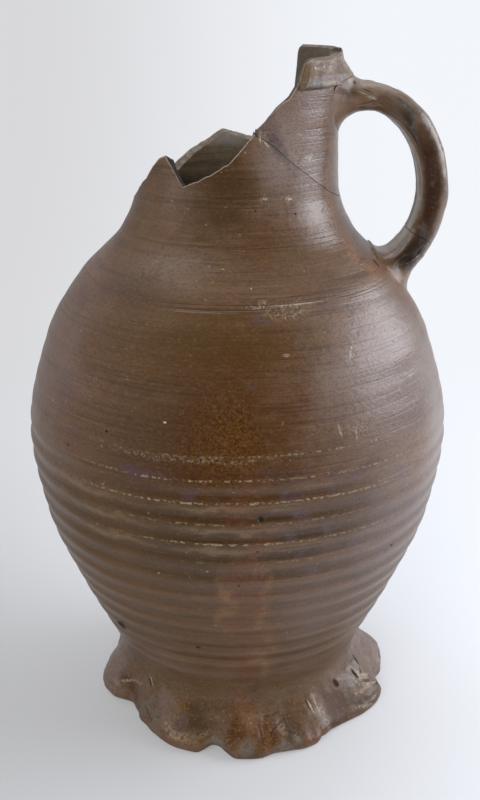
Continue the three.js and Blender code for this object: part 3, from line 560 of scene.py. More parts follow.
# The glaze where it ran over the pinched foot: thick brown drops, grey bare tips and torn dry clay
footLook = {
    "base": "#6a4f38",
    "gloss": 0.36,
    "peel": [(2.2, 0.14), (0.9, 0.08)],
    "tones": [
        {"colour": "#7a6353", "size": (24, 18), "range": (0.42, 0.66), "strength": 0.55, "seed": 2},
        {"colour": "#4b331e", "size": (14, 9), "range": (0.46, 0.66), "strength": 0.6, "seed": 6},
        {"colour": "#463120", "size": (40, 1.6), "range": (0.5, 0.72), "strength": 0.4, "seed": 9,
         "relief": -0.1},
    ],
    "stains": [
        {"name": "amber", "colour": "#5f451f", "soft": 0.9, "patches": [
            (-24, 22, 34, 14, 0, 0.7), (20, 22, 30, 12, 0, 0.5)]},
        {"name": "dusk", "colour": "#7d6860", "soft": 0.8, "patches": [
            (-76, 11, 14, 9, 0, 0.8), (86, 12, 16, 14, 0, 0.6), (-33, 12, 6, 8, 20, 0.5)]},
        # Darker brown on the foot's right flank: painted shade, where it faces down and away from the light
        {"name": "footFlankShade", "colour": "#4c3019", "soft": 0.8, "patches": [(46, 8, 13, 9, 0, 0.95)],
            "grain": (1.4, 0.1, 0.4), "rough": 0.3},
        {"name": "ochre", "colour": "#452b0a", "soft": 0.8, "patches": [
            (-58, 9.4, 8, 3.4, -20, 0.9), (-21, 14.6, 8, 3, 0, 0.7), (-16, 9, 6, 3.4, 0, 0.8),
            (56, 6.6, 7, 3, -20, 0.95), (66, 5.4, 4, 1.8, 0, 0.6), (-3, 14, 8, 3, 0, 0.3)]},
        {"name": "rust", "colour": "#78472f", "soft": 0.8, "patches": [
            (3, 16, 8, 12, 0, 0.5), (29, 4, 4, 5, 0, 0.7), (-25, 5, 8, 2, 0, 0.4), (36, 12, 4, 6, 0, 0.4)],
            "grain": (1.6, 0.3, 0.55)},
        {"name": "gold", "colour": "#84612f", "patches": [
            (3, 15, 5, 5, 0, 0.5), (11.6, 7.4, 4, 5, 0, 0.4), (-17, 5.5, 4, 2, 0, 0.4),
            (-26, 15, 5, 4, 0, 0.5)],
            "grain": (0.9, 0.4, 0.6), "rough": -0.1},
        {"name": "drip", "colour": "#452a08", "patches": [
            (-1, 9, 3.4, 4.6, 0, 0.95), (11.6, 8, 3.6, 5.4, 0, 0.95), (20, 9, 6, 3, 0, 0.7)], "soft": 0.7,
            "grain": (1.6, 0.2, 0.5)},
        {"name": "amberGrain", "colour": "#80521a", "patches": [
            (-1, 9, 3.4, 4.6, 0, 0.7), (11.6, 8, 3.6, 5.4, 0, 0.8), (-26, 13, 6, 4, 0, 0.4)],
            "grain": (1.1, 0.45, 0.6), "rough": -0.08},
        {"name": "violet", "colour": "#5c4950", "patches": [
            (-22.6, 9.2, 3, 2, 0, 0.5), (15, 8.4, 3.4, 1.6, 0, 0.5)],
            "grain": (2.5, 0.25, 0.5)},
        {"name": "bare", "colour": "#6d675d", "soft": 0.6, "drift": 0.4, "rough": 0.2, "patches": [
            (-43, 9.6, 2.6, 5.6, -38, 0.6), (-38, 6.6, 4, 2.2, -38, 0.5), (-7, 5.4, 5, 1.8, 0, 0.8),
            (4, 5, 2.8, 3, 0, 0.85), (17, 4, 4.4, 2.2, 0, 0.8), (23, 6, 3.4, 2, 0, 0.6),
            (62, 2.4, 12, 1.2, -12, 0.7), (98, 5, 12, 3, 0, 0.7), (84, 5, 6, 2, 0, 0.4),
            (-88, 8, 9, 2, 0, 0.5)], "grain": (2.4, 0.2, 0.5)},
        {"name": "ashy", "colour": "#b39f83", "drift": 0.5, "patches": [
            (-24, 6.4, 9, 1.3, -8, 0.6), (-13, 7.8, 3, 1, 30, 0.3), (7, 13, 5, 2, 0, 0.2),
            (17, 9, 2, 2.4, 30, 0.5), (36, 9, 1.6, 6, 6, 0.5), (-58, 11.6, 8, 0.7, 24, 0.8),
            (-66, 8, 3, 0.7, -10, 0.6), (64, 13, 4, 2.4, 0, 0.6), (59, 10.4, 3, 0.9, 0, 0.6),
            (60, 3.4, 10, 0.6, -14, 0.7), (88, 6, 3, 2, 0, 0.5)],
            "grain": (1.2, 0.36, 0.6), "relief": 0.12},
        {"colour": "#140f0b", "soft": 0.6, "marks": [
            (69.7, 17.7, 0.6, 2.2, -12, 1), (50.2, 16.1, 1.4, 2.0, 24, 1), (62.5, 15, 0.7, 1.7, -6, 1),
            (64.8, 11.4, 2.0, 0.5, -22, 0.8), (69.4, 7.4, 1.8, 0.5, -30, 0.9),
            (66.4, 14.4, 1.6, 0.3, 24, 0.5), (-45.6, 18.2, 0.4, 1.8, 52, 0.8), (-51, 21, 0.3, 3.0, 48, 0.4),
            (31.4, 14.4, 0.4, 1.8, 10, 0.6), (-40, 7.4, 4, 0.25, -34, 0.4)],
            "relief": -0.8, "rough": 0.4},
        {"colour": "#33261c", "soft": 0.8, "marks": [
            (17, 10.6, 4, 0.5, 24, 0.6), (22, 7.4, 3, 0.5, -20, 0.7), (14, 13.4, 5, 0.4, 8, 0.5),
            (9, 9, 0.6, 3, 10, 0.5)], "grain": (1.6, 0.3, 0.5), "relief": -0.3},
        {"colour": "#c4b6a2", "soft": 0.8, "marks": [
            (32.6, 13.6, 0.5, 2.8, 12, 0.8), (-44.6, 19, 0.4, 3, 52, 0.6), (67, 12.6, 3.0, 0.5, -24, 0.7),
            (60.4, 13, 0.5, 2.0, 10, 0.6), (68, 8.6, 2.4, 0.4, -30, 0.7), (35.6, 13, 0.6, 4, 6, 0.5)],
            "grain": (0.9, 0.3, 0.55), "relief": 0.15},
        {"colour": "#33231a", "size": (1.1, 0.9), "range": (0.46, 0.7), "strength": 0.5, "seed": 17},
        {"colour": "#9d8972", "size": (1.3, 0.9), "range": (0.54, 0.76), "strength": 0.4, "seed": 23},
    ],
}

# The dark hollow that a lost flake left in the rim
rimHollow = {
    "name": "hollow", "colour": "#2c241d", "soft": 0.5, "drift": 0.3, "patches": [(83, 284, 6, 1.6, 0, 0.9)],
}

# Glaze worn thin by handling on the collar: greige, with a mauve band and grey dirt held below its lip
collarLook = {
    "base": "#6b5848",
    "gloss": 0.5,
    "peel": [(1.4, 0.14), (0.7, 0.08)],
    "tones": [
        {"colour": "#6a5747", "size": (10, 5), "range": (0.45, 0.66), "strength": 0.6, "seed": 2},
        {"colour": "#a3937f", "size": (8, 4), "range": (0.5, 0.7), "strength": 0.6, "seed": 8},
    ],
    "stains": [
        {"name": "violet", "colour": "#6b5552", "soft": 0.8, "patches": [
            (54, 275.6, 15, 1.6, 0, 0.8), (42, 275, 8, 1.4, 0, 0.5)], "grain": (2.0, 0.2, 0.5)},
        {"name": "bare", "colour": "#ab9b88", "soft": 0.8, "drift": 0.4, "patches": [
            (60, 272.6, 30, 1.0, 0, 0.9), (40, 281.5, 6, 2, 0, 0.6), (78, 278, 8, 4, 0, 0.6)],
            "grain": (1.2, 0.3, 0.55)},
        {"name": "slate", "colour": "#6c6b68", "soft": 0.7, "drift": 0.4, "patches": [
            (41, 273.2, 5, 1.6, 0, 0.9), (39, 281, 2.4, 1.4, 0, 0.8)]},
        {"name": "ochre", "colour": "#6f5532", "soft": 0.8, "patches": [(37, 278, 5, 4, 0, 0.6)]},
        rimHollow,
        {"colour": "#e3d9c6", "marks": [
            (42, 278.4, 0.5, 0.5, 0, 0.9), (55, 278.6, 0.5, 0.4, 0, 0.8), (49, 278.7, 0.4, 0.35, 0, 0.7)]},
        {"colour": "#3d3026", "size": (1.0, 0.9), "range": (0.5, 0.74), "strength": 0.4, "seed": 17},
    ],
}

# Thin, dry wash inside the jug: grey brown, marked by the fingers that drew the wall up
insideLook = {
    "base": "#716250",
    "gloss": 0.55,
    "peel": [(1.6, 0.16), (0.8, 0.06)],
    "tones": [
        {"colour": "#4b4136", "size": (26, 12), "range": (0.42, 0.64), "strength": 0.7, "seed": 2},
        {"colour": "#534636", "size": (40, 3), "range": (0.46, 0.66), "strength": 0.5, "seed": 4,
         "relief": -0.3},
        {"colour": "#8b7f70", "size": (10, 7), "range": (0.5, 0.7), "strength": 0.4, "seed": 8},
        {"colour": "#2f261c", "size": (1.4, 1.2), "range": (0.5, 0.74), "strength": 0.4, "seed": 17},
    ],
    "stains": [
        {"name": "dirt", "colour": "#463c2f", "soft": 0.9, "patches": [
            (120, 274, 60, 14, 0, 0.6), (-170, 222, 60, 16, 0, 0.6)]},
        {"name": "dusty", "colour": "#8d8782", "soft": 0.5, "drift": 0.4, "patches": [
            (-170, 247.4, 18, 5.4, 0, 0.85), (-120, 243, 20, 2.4, 0, 0.5)]},
    ],
}

# Broken stoneware: dense grey clay with a dry grain, pale where the glaze edge flaked off
breakLook = {
    "base": "#85796d",
    "gloss": 0.8,
    "specular": 0.3,
    "peel": [(1.1, 0.35)],
    "tones": [
        {"colour": "#62564b", "size": (3, 3), "range": (0.4, 0.62), "strength": 0.7, "seed": 2,
         "relief": -0.25},
        {"colour": "#3f3329", "size": (1.0, 1.0), "range": (0.55, 0.68), "strength": 0.6, "seed": 8},
    ],
    "stains": [
        # Darker broken faces at the front notch and beside the sherd: painted shade
        {"name": "breakShade", "colour": "#4c4138", "soft": 0.6, "patches": [
            (-30, 235, 34, 30, 0, 0.85), (30, 262, 30, 26, 0, 0.8)]},
        {"name": "flaked", "colour": "#b9ad9e", "grain": (2.4, 0.25, 0.45), "relief": 0.1},
        rimHollow,
    ],
}

# Old animal glue in the joints, dark with dirt
glueLook = {
    "base": "#2e2822",
    "gloss": 0.5,
    "peel": [(1.0, 0.1)],
    "tones": [{"colour": "#453b31", "size": (3, 3), "range": (0.4, 0.62), "strength": 0.7, "seed": 2}],
    "stains": [],
}

saltGlaze = stoneware("saltGlazedStoneware", glazeLook)
handleGlaze = stoneware("saltGlazedPulledHandle", handleLook)
footGlaze = stoneware("saltGlazedPinchedFoot", footLook)
collarGlaze = stoneware("wornGlazeOnRim", collarLook)
insideWash = stoneware("thinWashInsideJug", insideLook)
firedBreak = stoneware("firedClayBreak", breakLook)
oldGlue = stoneware("oldGlue", glueLook)
wallStains = [*glazeLook["stains"], *insideLook["stains"], *breakLook["stains"]]
wallSkins = {"Outside": saltGlaze, "Break": firedBreak, "Inside": insideWash}  # in the order of the zones
print("materials made")


# Throwing ribs, made with Geometry Nodes on the turned wall

ribs = {
    "Pitch": 8.72,  # mm, as are the heights and depths
    "First Line": 43.4,
    "Depth": 1.0,
    "Faint Depth": 0.14,
    "Lowest": 46.0,
    "Highest": 133.2,
    "Fade": 12.0,
    "Fall To": 0.26,  # shares of the pitch, up from a groove's line
    "Rise From": 0.3,
    "Rise To": 0.86,
    "Waver": 1.1,
    "Unevenness": 0.35,
    "Least Share": 0.37,  # the depth varies from this share of itself, over this spread
    "Spread": 1.1,
    "Seed": 4.0,
    "Waver Scale": 14.0,  # of the noise, in metres
    "Depth Scale": 22.0,
    "Dent Scale": 30.0,
}


def throwingRibs():
    tree = bpy.data.node_groups.new("throwingRibs", "GeometryNodeTree")
    tree.interface.new_socket("Geometry", in_out="INPUT", socket_type="NodeSocketGeometry")
    for key in ribs:
        tree.interface.new_socket(key, in_out="INPUT", socket_type="NodeSocketFloat")
    for key in wallSkins:
        tree.interface.new_socket(key, in_out="INPUT", socket_type="NodeSocketMaterial")
    tree.interface.new_socket("Geometry", in_out="OUTPUT", socket_type="NodeSocketGeometry")
    given = addNode(tree, "NodeGroupInput")
    position = addNode(tree, "GeometryNodeInputPosition")[0]
    x, y, z = addNode(tree, "ShaderNodeSeparateXYZ", {0: position})
    seeded = addNode(tree, "ShaderNodeVectorMath", {0: position, 1: given["Seed"]}, operation="ADD")[0]

    # The height counted in ribs, with a waver
    height = addNode(tree, "ShaderNodeMath", {0: z, 1: 1000.0}, operation="MULTIPLY")[0]
    sway = addNode(
        tree, "ShaderNodeTexNoise", {"Vector": seeded, "Scale": given["Waver Scale"], "Detail": 2.0}
    )[0]
    sway = addNode(tree, "ShaderNodeMath", {0: sway, 1: 2.0, 2: -1.0}, operation="MULTIPLY_ADD")[0]
    shifted = addNode(
        tree, "ShaderNodeMath", {0: sway, 1: given["Waver"], 2: height}, operation="MULTIPLY_ADD"
    )[0]
    shifted = addNode(tree, "ShaderNodeMath", {0: shifted, 1: given["First Line"]}, operation="SUBTRACT")[0]
    phase = addNode(tree, "ShaderNodeMath", {0: shifted, 1: given["Pitch"]}, operation="DIVIDE")[0]
    share = addNode(tree, "ShaderNodeMath", {0: phase}, operation="FRACT")[0]

    # One groove, which falls fast from its line and rises slowly to the next
    fall = addNode(
        tree, "ShaderNodeMapRange", {0: share, 1: 0.0, 2: given["Fall To"]}, interpolation_type="SMOOTHSTEP"
    )[0]
    rise = addNode(
        tree, "ShaderNodeMapRange", {0: share, 1: given["Rise From"], 2: given["Rise To"], 3: 1.0, 4: 0.0},
        interpolation_type="SMOOTHSTEP",
    )[0]
    groove = addNode(tree, "ShaderNodeMath", {0: fall, 1: rise}, operation="MULTIPLY")[0]

    # Deep on the belly, faint above and below, and never quite even
    below = addNode(tree, "ShaderNodeMath", {0: given["Lowest"], 1: given["Fade"]}, operation="SUBTRACT")[0]
    above = addNode(tree, "ShaderNodeMath", {0: given["Highest"], 1: given["Fade"]}, operation="ADD")[0]
    lowest = addNode(
        tree, "ShaderNodeMapRange", {0: height, 1: below, 2: given["Lowest"]}, interpolation_type="SMOOTHSTEP"
    )[0]
    highest = addNode(
        tree, "ShaderNodeMapRange", {0: height, 1: given["Highest"], 2: above, 3: 1.0, 4: 0.0},
        interpolation_type="SMOOTHSTEP",
    )[0]
    deep = addNode(tree, "ShaderNodeMath", {0: lowest, 1: highest}, operation="MULTIPLY")[0]
    deep = addNode(tree, "ShaderNodeMath", {0: deep, 1: given["Depth"]}, operation="MULTIPLY")[0]
    deep = addNode(tree, "ShaderNodeMath", {0: deep, 1: given["Faint Depth"]}, operation="MAXIMUM")[0]
    varied = addNode(
        tree, "ShaderNodeTexNoise", {"Vector": seeded, "Scale": given["Depth Scale"], "Detail": 1.0}
    )[0]
    varied = addNode(
        tree, "ShaderNodeMath", {0: varied, 1: given["Spread"], 2: given["Least Share"]},
        operation="MULTIPLY_ADD",
    )[0]
    deep = addNode(tree, "ShaderNodeMath", {0: deep, 1: varied}, operation="MULTIPLY")[0]
    groove = addNode(tree, "ShaderNodeMath", {0: groove, 1: deep}, operation="MULTIPLY")[0]
    dents = addNode(
        tree, "ShaderNodeTexNoise", {"Vector": seeded, "Scale": given["Dent Scale"], "Detail": 2.0}
    )[0]
    inward = addNode(
        tree, "ShaderNodeMath", {0: dents, 1: given["Unevenness"], 2: groove}, operation="MULTIPLY_ADD"
    )[0]

    # Only the outer skin moves, straight towards the middle of the jug
    skin = addNode(tree, "GeometryNodeInputNamedAttribute", {0: "outer"}, data_type="FLOAT")[0]
    inward = addNode(tree, "ShaderNodeMath", {0: inward, 1: skin}, operation="MULTIPLY")[0]
    inward = addNode(tree, "ShaderNodeMath", {0: inward, 1: -0.001}, operation="MULTIPLY")[0]
    flat = addNode(tree, "ShaderNodeCombineXYZ", {0: x, 1: y})[0]
    flat = addNode(tree, "ShaderNodeVectorMath", {0: flat}, operation="NORMALIZE")[0]
    offset = addNode(tree, "ShaderNodeVectorMath", {0: flat, "Scale": inward}, operation="SCALE")[0]
    kept = addNode(
        tree, "GeometryNodeStoreNamedAttribute",
        {"Geometry": given["Geometry"], "Name": "ribPhase", "Value": phase},
        data_type="FLOAT", domain="POINT",
    )[0]
    moved = addNode(tree, "GeometryNodeSetPosition", {"Geometry": kept, "Offset": offset})[0]
    painted = addNode(tree, "GeometryNodeRealizeInstances", {0: moved})[0]
    zone = addNode(tree, "GeometryNodeInputNamedAttribute", {0: "zone"}, data_type="INT")[0]
    for number, key in enumerate(wallSkins):
        here = addNode(
            tree, "FunctionNodeCompare", {2: zone, 3: number}, data_type="INT", operation="EQUAL"
        )[0]
        painted = addNode(
            tree, "GeometryNodeSetMaterial", {"Geometry": painted, "Selection": here, "Material": given[key]}
        )[0]
    addNode(tree, "NodeGroupOutput", {0: painted})
    return tree


# Runs a node tree on the piece and keeps the result as its mesh
def bake(piece, tree, values):
    modifier = piece.modifiers.new(tree.name, "NODES")
    modifier.node_group = tree
    for item in tree.interface.items_tree:
        if item.in_out == "INPUT" and item.name in values:
            modifier[item.identifier] = values[item.name]
    graph = bpy.context.evaluated_depsgraph_get()
    made = piece.evaluated_get(graph)
    mesh = bpy.data.meshes.new_from_object(made, preserve_all_data_layers=True, depsgraph=graph)
    piece.modifiers.remove(modifier)
    old = piece.data
    piece.data = mesh
    bpy.data.meshes.remove(old)
    mesh.name = piece.name


ribTree = throwingRibs()


# Broken edges: the turn from the handle, and the share of the deepest bite below the rim

edges = {
    "open": [
        (62, 0.68), (75, 0.684), (92, 0.626), (100, 0.605), (108, 0.667), (123, 0.769), (137, 0.88),
        (152, 0.949), (180, 1), (192, 0.957), (211, 0.812), (222, 0.684), (228, 0.643), (234, 0.735),
        (240, 0.838), (248, 0.797), (258, 0.735), (266, 0.68), (273, 0.581), (279, 0.499),
    ],
    "crack": [
        (279, 0.499), (289, 0.571), (301, 0.694), (316, 0.814), (330, 0.906), (345, 0.964), (360, 0.998),
        (381, 0.957), (402, 0.831), (422, 0.68),
    ],
    "sherdTop": [
        (279, 0.499), (284.5, 0.424), (291, 0.345), (299, 0.284), (305, 0.2), (307.5, 0.12), (310, 0.07),
        (314, 0.054), (336, 0.05), (342, 0.045), (354, 0), (404, 0), (405.4, 0.012), (406.3, 0.045),
        (406.9, 0.14), (409, 0.325), (414, 0.496), (422, 0.68),
    ],
    "firstMended": 279,
    "lastMended": 62,
    "halfCrack": 0.15,
    "crackSlant": 1.0,
    "breakSlant": -1.2,
    "notchSlant": (234, 5, -2.4),  # turn, half width, how much further the break leans there
    "chips": 0.45,
    "faceRows": (0.12, 0.35, 0.6, 0.85),  # shares of the way through the wall
    "ring": 42,  # the radius at which the noise of the breaks is read
    "faceDepth": 4,  # and how far it moves inwards through the wall
    "faceSeed": 7,
}


def straightThrough(points):
    turns, shares = (np.array(v, float) for v in zip(*points))
    return lambda turn: jug["rim"] - jug["biteDepth"] * np.interp(turn, turns, shares)


openHeight = straightThrough(edges["open"])
crackHeight = straightThrough(edges["crack"])
sherdTopHeight = straightThrough(edges["sherdTop"])


# The wall of the jug as rows from the foot up to the break and down the inside. Zones: outside, break, inside

class WallRows:
    def __init__(self, turns):
        self.turns = turns
        self.rows, self.outer, self.flaked, self.zones = [], [], [], []

    def add(self, radius, z, onSkin=0.0, zone=0, flaked=0.0):
        self.rows.append(around(self.turns, radius, z))
        self.outer.append(np.full(len(self.turns), onSkin, float))
        self.flaked.append(np.broadcast_to(flaked, len(self.turns)))
        self.zones.append(zone)

    def made(self, name, ring):
        given = {"outer": np.stack(self.outer, 1), "flaked": np.stack(self.flaked, 1)}
        return loft(name, np.stack(self.rows, 1), ring, self.zones, given)


# Steps through a broken face: the share of the way from its outer edge to its inner one, and noise
def throughFace(turns, height, size):
    for share in edges["faceRows"]:
        ring = around(turns, edges["ring"] - edges["faceDepth"] * share, height)
        yield share, roughly(ring, size, share * edges["faceSeed"])


# Thrown body

bodyMade = {
    "columns": 336,
    "underside": [(0, 2.6), (27, 1.96), (44.1, 1)],
    "hiddenRows": (2.4, 30, 15),  # lowest, highest and number of the rows behind the foot
    "wallRows": (31.2, 218.5, 152),  # the same for the rows up to a level below the deepest bite
    "neckShares": [*np.linspace(0, 1, 16)[1:-1], 0.975, 1],  # from that level to the broken edge
    "insideNeckRows": 12,
    "insideRows": (218.5, 20, 42),
    "insideFloor": [(20.5, 10.4), (0, 11)],
    "corner": (9.5, 2),  # height of the inside's lowest corner, and how far it stands in from the wall
    "skinFade": 20,  # ribs and dents fade in over this height
    "chips": [(3.2, 3.1, 1), (1.4, 9.4, 0.5)],  # size in mm, seed, share
    "grain": 2.2,
    "roughness": 0.7,
    "noiseHeight": 240,
}


def makeBody():
    made = bodyMade
    turns = np.linspace(0, 360, made["columns"], endpoint=False)
    mended = (turns >= edges["firstMended"]) | (turns <= edges["lastMended"])
    unwound = np.where(turns >= edges["firstMended"], turns, turns + 360)
    chips = lumpy(around(turns, edges["ring"], made["noiseHeight"]), made["chips"]) * edges["chips"]
    edge = np.where(mended, crackHeight(unwound) - edges["halfCrack"], openHeight(turns) + chips)
    notch, halfNotch, lean = edges["notchSlant"]
    slant = edges["breakSlant"] + lean * bell(turns - notch, halfNotch)
    innerEdge = edge + np.where(mended, edges["crackSlant"], slant)
    wall = WallRows(turns)
    for radius, z in made["underside"]:
        wall.add(radius, z)
    for z in [*np.linspace(*made["hiddenRows"]), *np.linspace(*made["wallRows"])]:
        wall.add(outerRadius(z), z, min(1, z / made["skinFade"]))
    level = made["wallRows"][1]
    for share in made["neckShares"]:
        z = mix(level, edge, share)
        last = share == 1
        wall.add(outerRadius(z), z, 1 - share**3, 1 if last else 0, np.where(mended, 0, 1) if last else 0)
    for share, rough in throughFace(turns, made["noiseHeight"], made["grain"]):
        z = mix(edge, innerEdge, share) + np.where(mended, 0, made["roughness"]) * rough
        wall.add(mix(outerRadius(edge), innerRadius(innerEdge), share), z, zone=1)
    for share in np.linspace(1, 0, made["insideNeckRows"]):
        z = mix(level, innerEdge, share)
        wall.add(innerRadius(z), z, zone=2)
    for z in np.linspace(*made["insideRows"])[1:]:
        wall.add(innerRadius(z), z, zone=2)
    corner, inset = made["corner"]
    wall.add(innerRadius(corner) - inset, corner, zone=2)
    for radius, z in made["insideFloor"]:
        wall.add(radius, z, zone=2)
    piece = wall.made("thrownBody", True)
    bake(piece, ribTree, {**ribs, **wallSkins})
    finishPiece(piece, "thrown_body", wallStains)


makeBody()


# Neck sherd, with a flake gone from its rim near the handle

sherdMade = {
    "start": 280.5,
    "end": 421,
    "columns": 240,
    "rows": 48,
    "insideRows": 24,
    "least": 0.6,  # the least height above the crack
    "lag": 2.4,  # the inner edge follows the outer one by so many degrees
    "chips": (2.0, 5.3),  # size in mm, seed
    "grain": 1.8,
    "roughness": 0.5,
    "noiseHeight": 260,
    "rimFrom": 279.6,  # where the edge is the glazed rim: its height, drop, crown and share of the roughness
    "rimDrop": 1,
    "rimCrown": 0.9,
    "rimRoughness": 0.15,
    "flakeTurn": 352,
    "flakeWidth": 5,
    "flakeDepth": 2.8,
    "ribs": {"Faint Depth": 0.1, "Unevenness": 0.2},
}


def rimFlake(turns):
    return bell(turns - sherdMade["flakeTurn"], sherdMade["flakeWidth"])


def makeSherd():
    made = sherdMade
    turns = np.linspace(made["start"], made["end"], made["columns"])
    bottom = crackHeight(turns) + edges["halfCrack"]
    innerBottom = bottom + edges["crackSlant"]
    ragged = roughly(around(turns, edges["ring"], made["noiseHeight"]), *made["chips"]) * edges["chips"]
    full = sherdTopHeight(turns)
    atRim = full > made["rimFrom"]
    top = np.maximum(np.where(atRim, full - made["rimDrop"], full + ragged), bottom + made["least"])
    lagging = sherdTopHeight(np.maximum(turns - made["lag"], made["start"]))
    lagging = lagging - np.where(atRim, made["rimDrop"], 0)
    innerTop = np.maximum(np.minimum(top, lagging), innerBottom + made["least"])
    innerTop = innerTop - made["flakeDepth"] * rimFlake(turns)
    wall = WallRows(turns)
    for share in np.linspace(0, 1, made["rows"]):
        z = mix(bottom, top, share)
        onSkin = math.sin(share * math.pi) ** 0.5 if 0 < share < 1 else 0
        last = share == 1
        wall.add(outerRadius(z), z, onSkin, 1 if last else 0, np.where(atRim, 0, 1) if last else 0)
    for share, rough in throughFace(turns, made["noiseHeight"], made["grain"]):
        rough = made["roughness"] * rough
        crown = made["rimCrown"] * math.sin(share * math.pi) + made["rimRoughness"] * rough
        z = mix(top, innerTop, share) + np.where(atRim, crown, rough)
        wall.add(mix(outerRadius(top), innerRadius(innerTop), share), z, zone=1)
    for share in np.linspace(1, 0, made["insideRows"]):
        z = mix(innerBottom, innerTop, share)
        wall.add(innerRadius(z), z, zone=2)
    wall.zones[-1] = 1
    piece = wall.made("neckSherd", False)
    bake(piece, ribTree, {**ribs, **wallSkins, **made["ribs"]})
    finishPiece(piece, "neck_sherd", wallStains)


makeSherd()


# Collar folded over the rim, spreading like a bell

collarMade = {
    "start": 304.6,
    "end": 406,
    "columns": 220,
    "bottom": 271.6,
    "rise": 2.0,  # its lower edge stands so much higher beside the handle
    "beside": (322, 348),  # turns between which that comes in
    "top": 284.4,
    "belowBreak": 0.5,
    "spread": [(273, 1), (275.6, 0.9), (277.5, 0.6), (280.4, 0.2), (284, 0)],  # height, share of the lip
    "topRadius": 40.7,
    "lip": 44.6,
    "lipAtHandle": 45.4,
    "lipRound": 1.2,
    "lipAngles": (-75, 30, 6),
    "hollow": 1.6,  # how much the underside is hollowed between the wall and the lip
    "underside": (39.6, 0.9),  # from this radius, to this far inside the lip
    "faceFrom": 1.9,  # height above its bottom at which the bell's face starts
    "faceShares": (0.08, 0.95, 18),
    "crest": (0.3, 0.8, 39.9),  # two steps in from the edge of the top, and the most for the second
    "crestUp": 0.1,
    "crestFlake": 0.8,
    "insideDown": 0.4,
    "inside": 38.6,
    "insideShares": (0.7, 0.4, 0.15),
    "lumps": [(5, 2.2, 0.4), (1.8, 7.7, 0.22)],
    "proud": 0.2,
}


def collarLoops():
    made = collarMade
    turns = np.linspace(made["start"], made["end"], made["columns"])
    beside = smoothStep(turns, *made["beside"])
    bottom = made["bottom"] + made["rise"] * beside
    lip = mix(made["lip"], made["lipAtHandle"], beside)
    lipRound = made["lipRound"]
    top = np.clip(sherdTopHeight(turns) - made["belowBreak"], bottom + 1.5 * lipRound, made["top"])
    heights, shares = (np.array(v, float) for v in zip(*made["spread"]))

    def reach(z):
        return np.minimum(mix(made["topRadius"], lip, np.interp(z, heights, shares)), lip)

    rows = []
    root, inset = made["underside"]
    for share in np.linspace(0, 1, 7):
        rows.append(around(turns, mix(root, lip - inset, share), bottom - made["hollow"] * (1 - share) ** 2))
    for angle in np.radians(np.linspace(*made["lipAngles"])):
        edge = lip - lipRound + lipRound * math.cos(angle)
        rows.append(around(turns, edge, bottom + lipRound + lipRound * math.sin(angle)))
    for share in np.linspace(*made["faceShares"]):
        z = mix(bottom + made["faceFrom"], top, share)
        rows.append(around(turns, reach(z), z))
    flake = rimFlake(turns)
    first, second, most = made["crest"]
    rows.append(around(turns, reach(top) - first, top))
    second = np.minimum(reach(top) - second, most)
    rows.append(around(turns, second, top + made["crestUp"] - flake * made["crestFlake"]))
    rows.append(around(turns, made["inside"], top - made["insideDown"] - flake * sherdMade["flakeDepth"]))
    for share in made["insideShares"]:
        rows.append(around(turns, made["inside"], mix(bottom + 0.3, top - 1, share)))
    loops = np.stack(rows, 1)
    return pushed(loops, np.minimum(lumpy(loops, made["lumps"]), made["proud"]))


collar = loft("rimCollar", collarLoops(), False)
finishPiece(collar, "rim_collar", collarLook["stains"], collarGlaze)


# Pulled handle

handleMade = {
    "inWall": 34,  # the centreline starts inside the neck's wall
    "rootHeight": 266.8,
    "arcStart": 50,
    "bowRadius": 80.3,
    "bowHeight": 228.95,
    "lowerCentre": 45,
    "lowerDepth": 37.85,
    "lowerSweep": 84,
    "points": (36, 110, 116),  # on the straight at the neck, above the bow and below it
    "width": 20,
    "crown": 10.6,  # thickness at the neck and from the bow on
    "bow": 12,
    "thickens": (8, 34),  # how far from the neck
    "widening": 5,  # at the roots, which reach these lengths from the neck and from the shoulder
    "rootLengths": (12, 10),
    "shoulderShare": 0.6,  # the share of it at the shoulder
    "swell": 0.12,  # how much of the widening goes into the thickness
    "squareness": (0.85, 0.5),  # powers that round the outer side and flatten the inner one
    "groove": 0.9,
    "grooveWidth": 0.4,
    "neck": 41.3,  # radii of the walls at the roots
    "shoulder": 64,
    "shoulderDip": 1.5,
    "rootFade": 14,
    "breakAngle": 29,  # below the bow
    "halfBreak": 0.2,
    "intoNeck": 2.6,  # how far its ends go into the walls
    "intoShoulder": 3.5,
    "sides": 72,
    "archLoops": 280,
    "stumpLoops": 60,
}


# Centreline points (radius, height) about half a millimetre apart, from inside the neck wall to the shoulder
def handlePath():
    made = handleMade
    rise = made["rootHeight"] - made["bowHeight"]
    reach = made["bowRadius"] - made["arcStart"]
    lowerReach = made["bowRadius"] - made["lowerCentre"]
    onStraight, onUpper, onLower = made["points"]
    straight = np.linspace(made["inWall"], made["arcStart"], onStraight, False)
    points = [(r, made["rootHeight"]) for r in straight]
    for t in np.linspace(0, math.pi / 2, onUpper, False):
        points.append((made["arcStart"] + reach * math.sin(t), made["bowHeight"] + rise * math.cos(t)))
    for t in np.linspace(0, math.radians(made["lowerSweep"]), onLower):
        z = made["bowHeight"] - made["lowerDepth"] * math.sin(t)
        points.append((made["lowerCentre"] + lowerReach * math.cos(t), z))
    return np.array(points)


path = handlePath()
walked = np.concatenate([[0], np.cumsum(np.linalg.norm(np.diff(path, axis=0), axis=1))])
slopes = np.stack([np.gradient(path[:, i], walked) for i in (0, 1)], -1)
onStraight, onUpper, _ = handleMade["points"]
pastBow = range(onStraight + onUpper, len(path))
neckAt = np.interp(handleMade["neck"], path[:onStraight, 0], walked[:onStraight])
shoulderAt = walked[next(i for i in pastBow if path[i, 0] <= wallRadius(path[i, 1]))]
breakDrop = handleMade["lowerDepth"] * math.sin(math.radians(handleMade["breakAngle"]))
breakAt = walked[next(i for i in pastBow if path[i, 1] <= handleMade["bowHeight"] - breakDrop)]


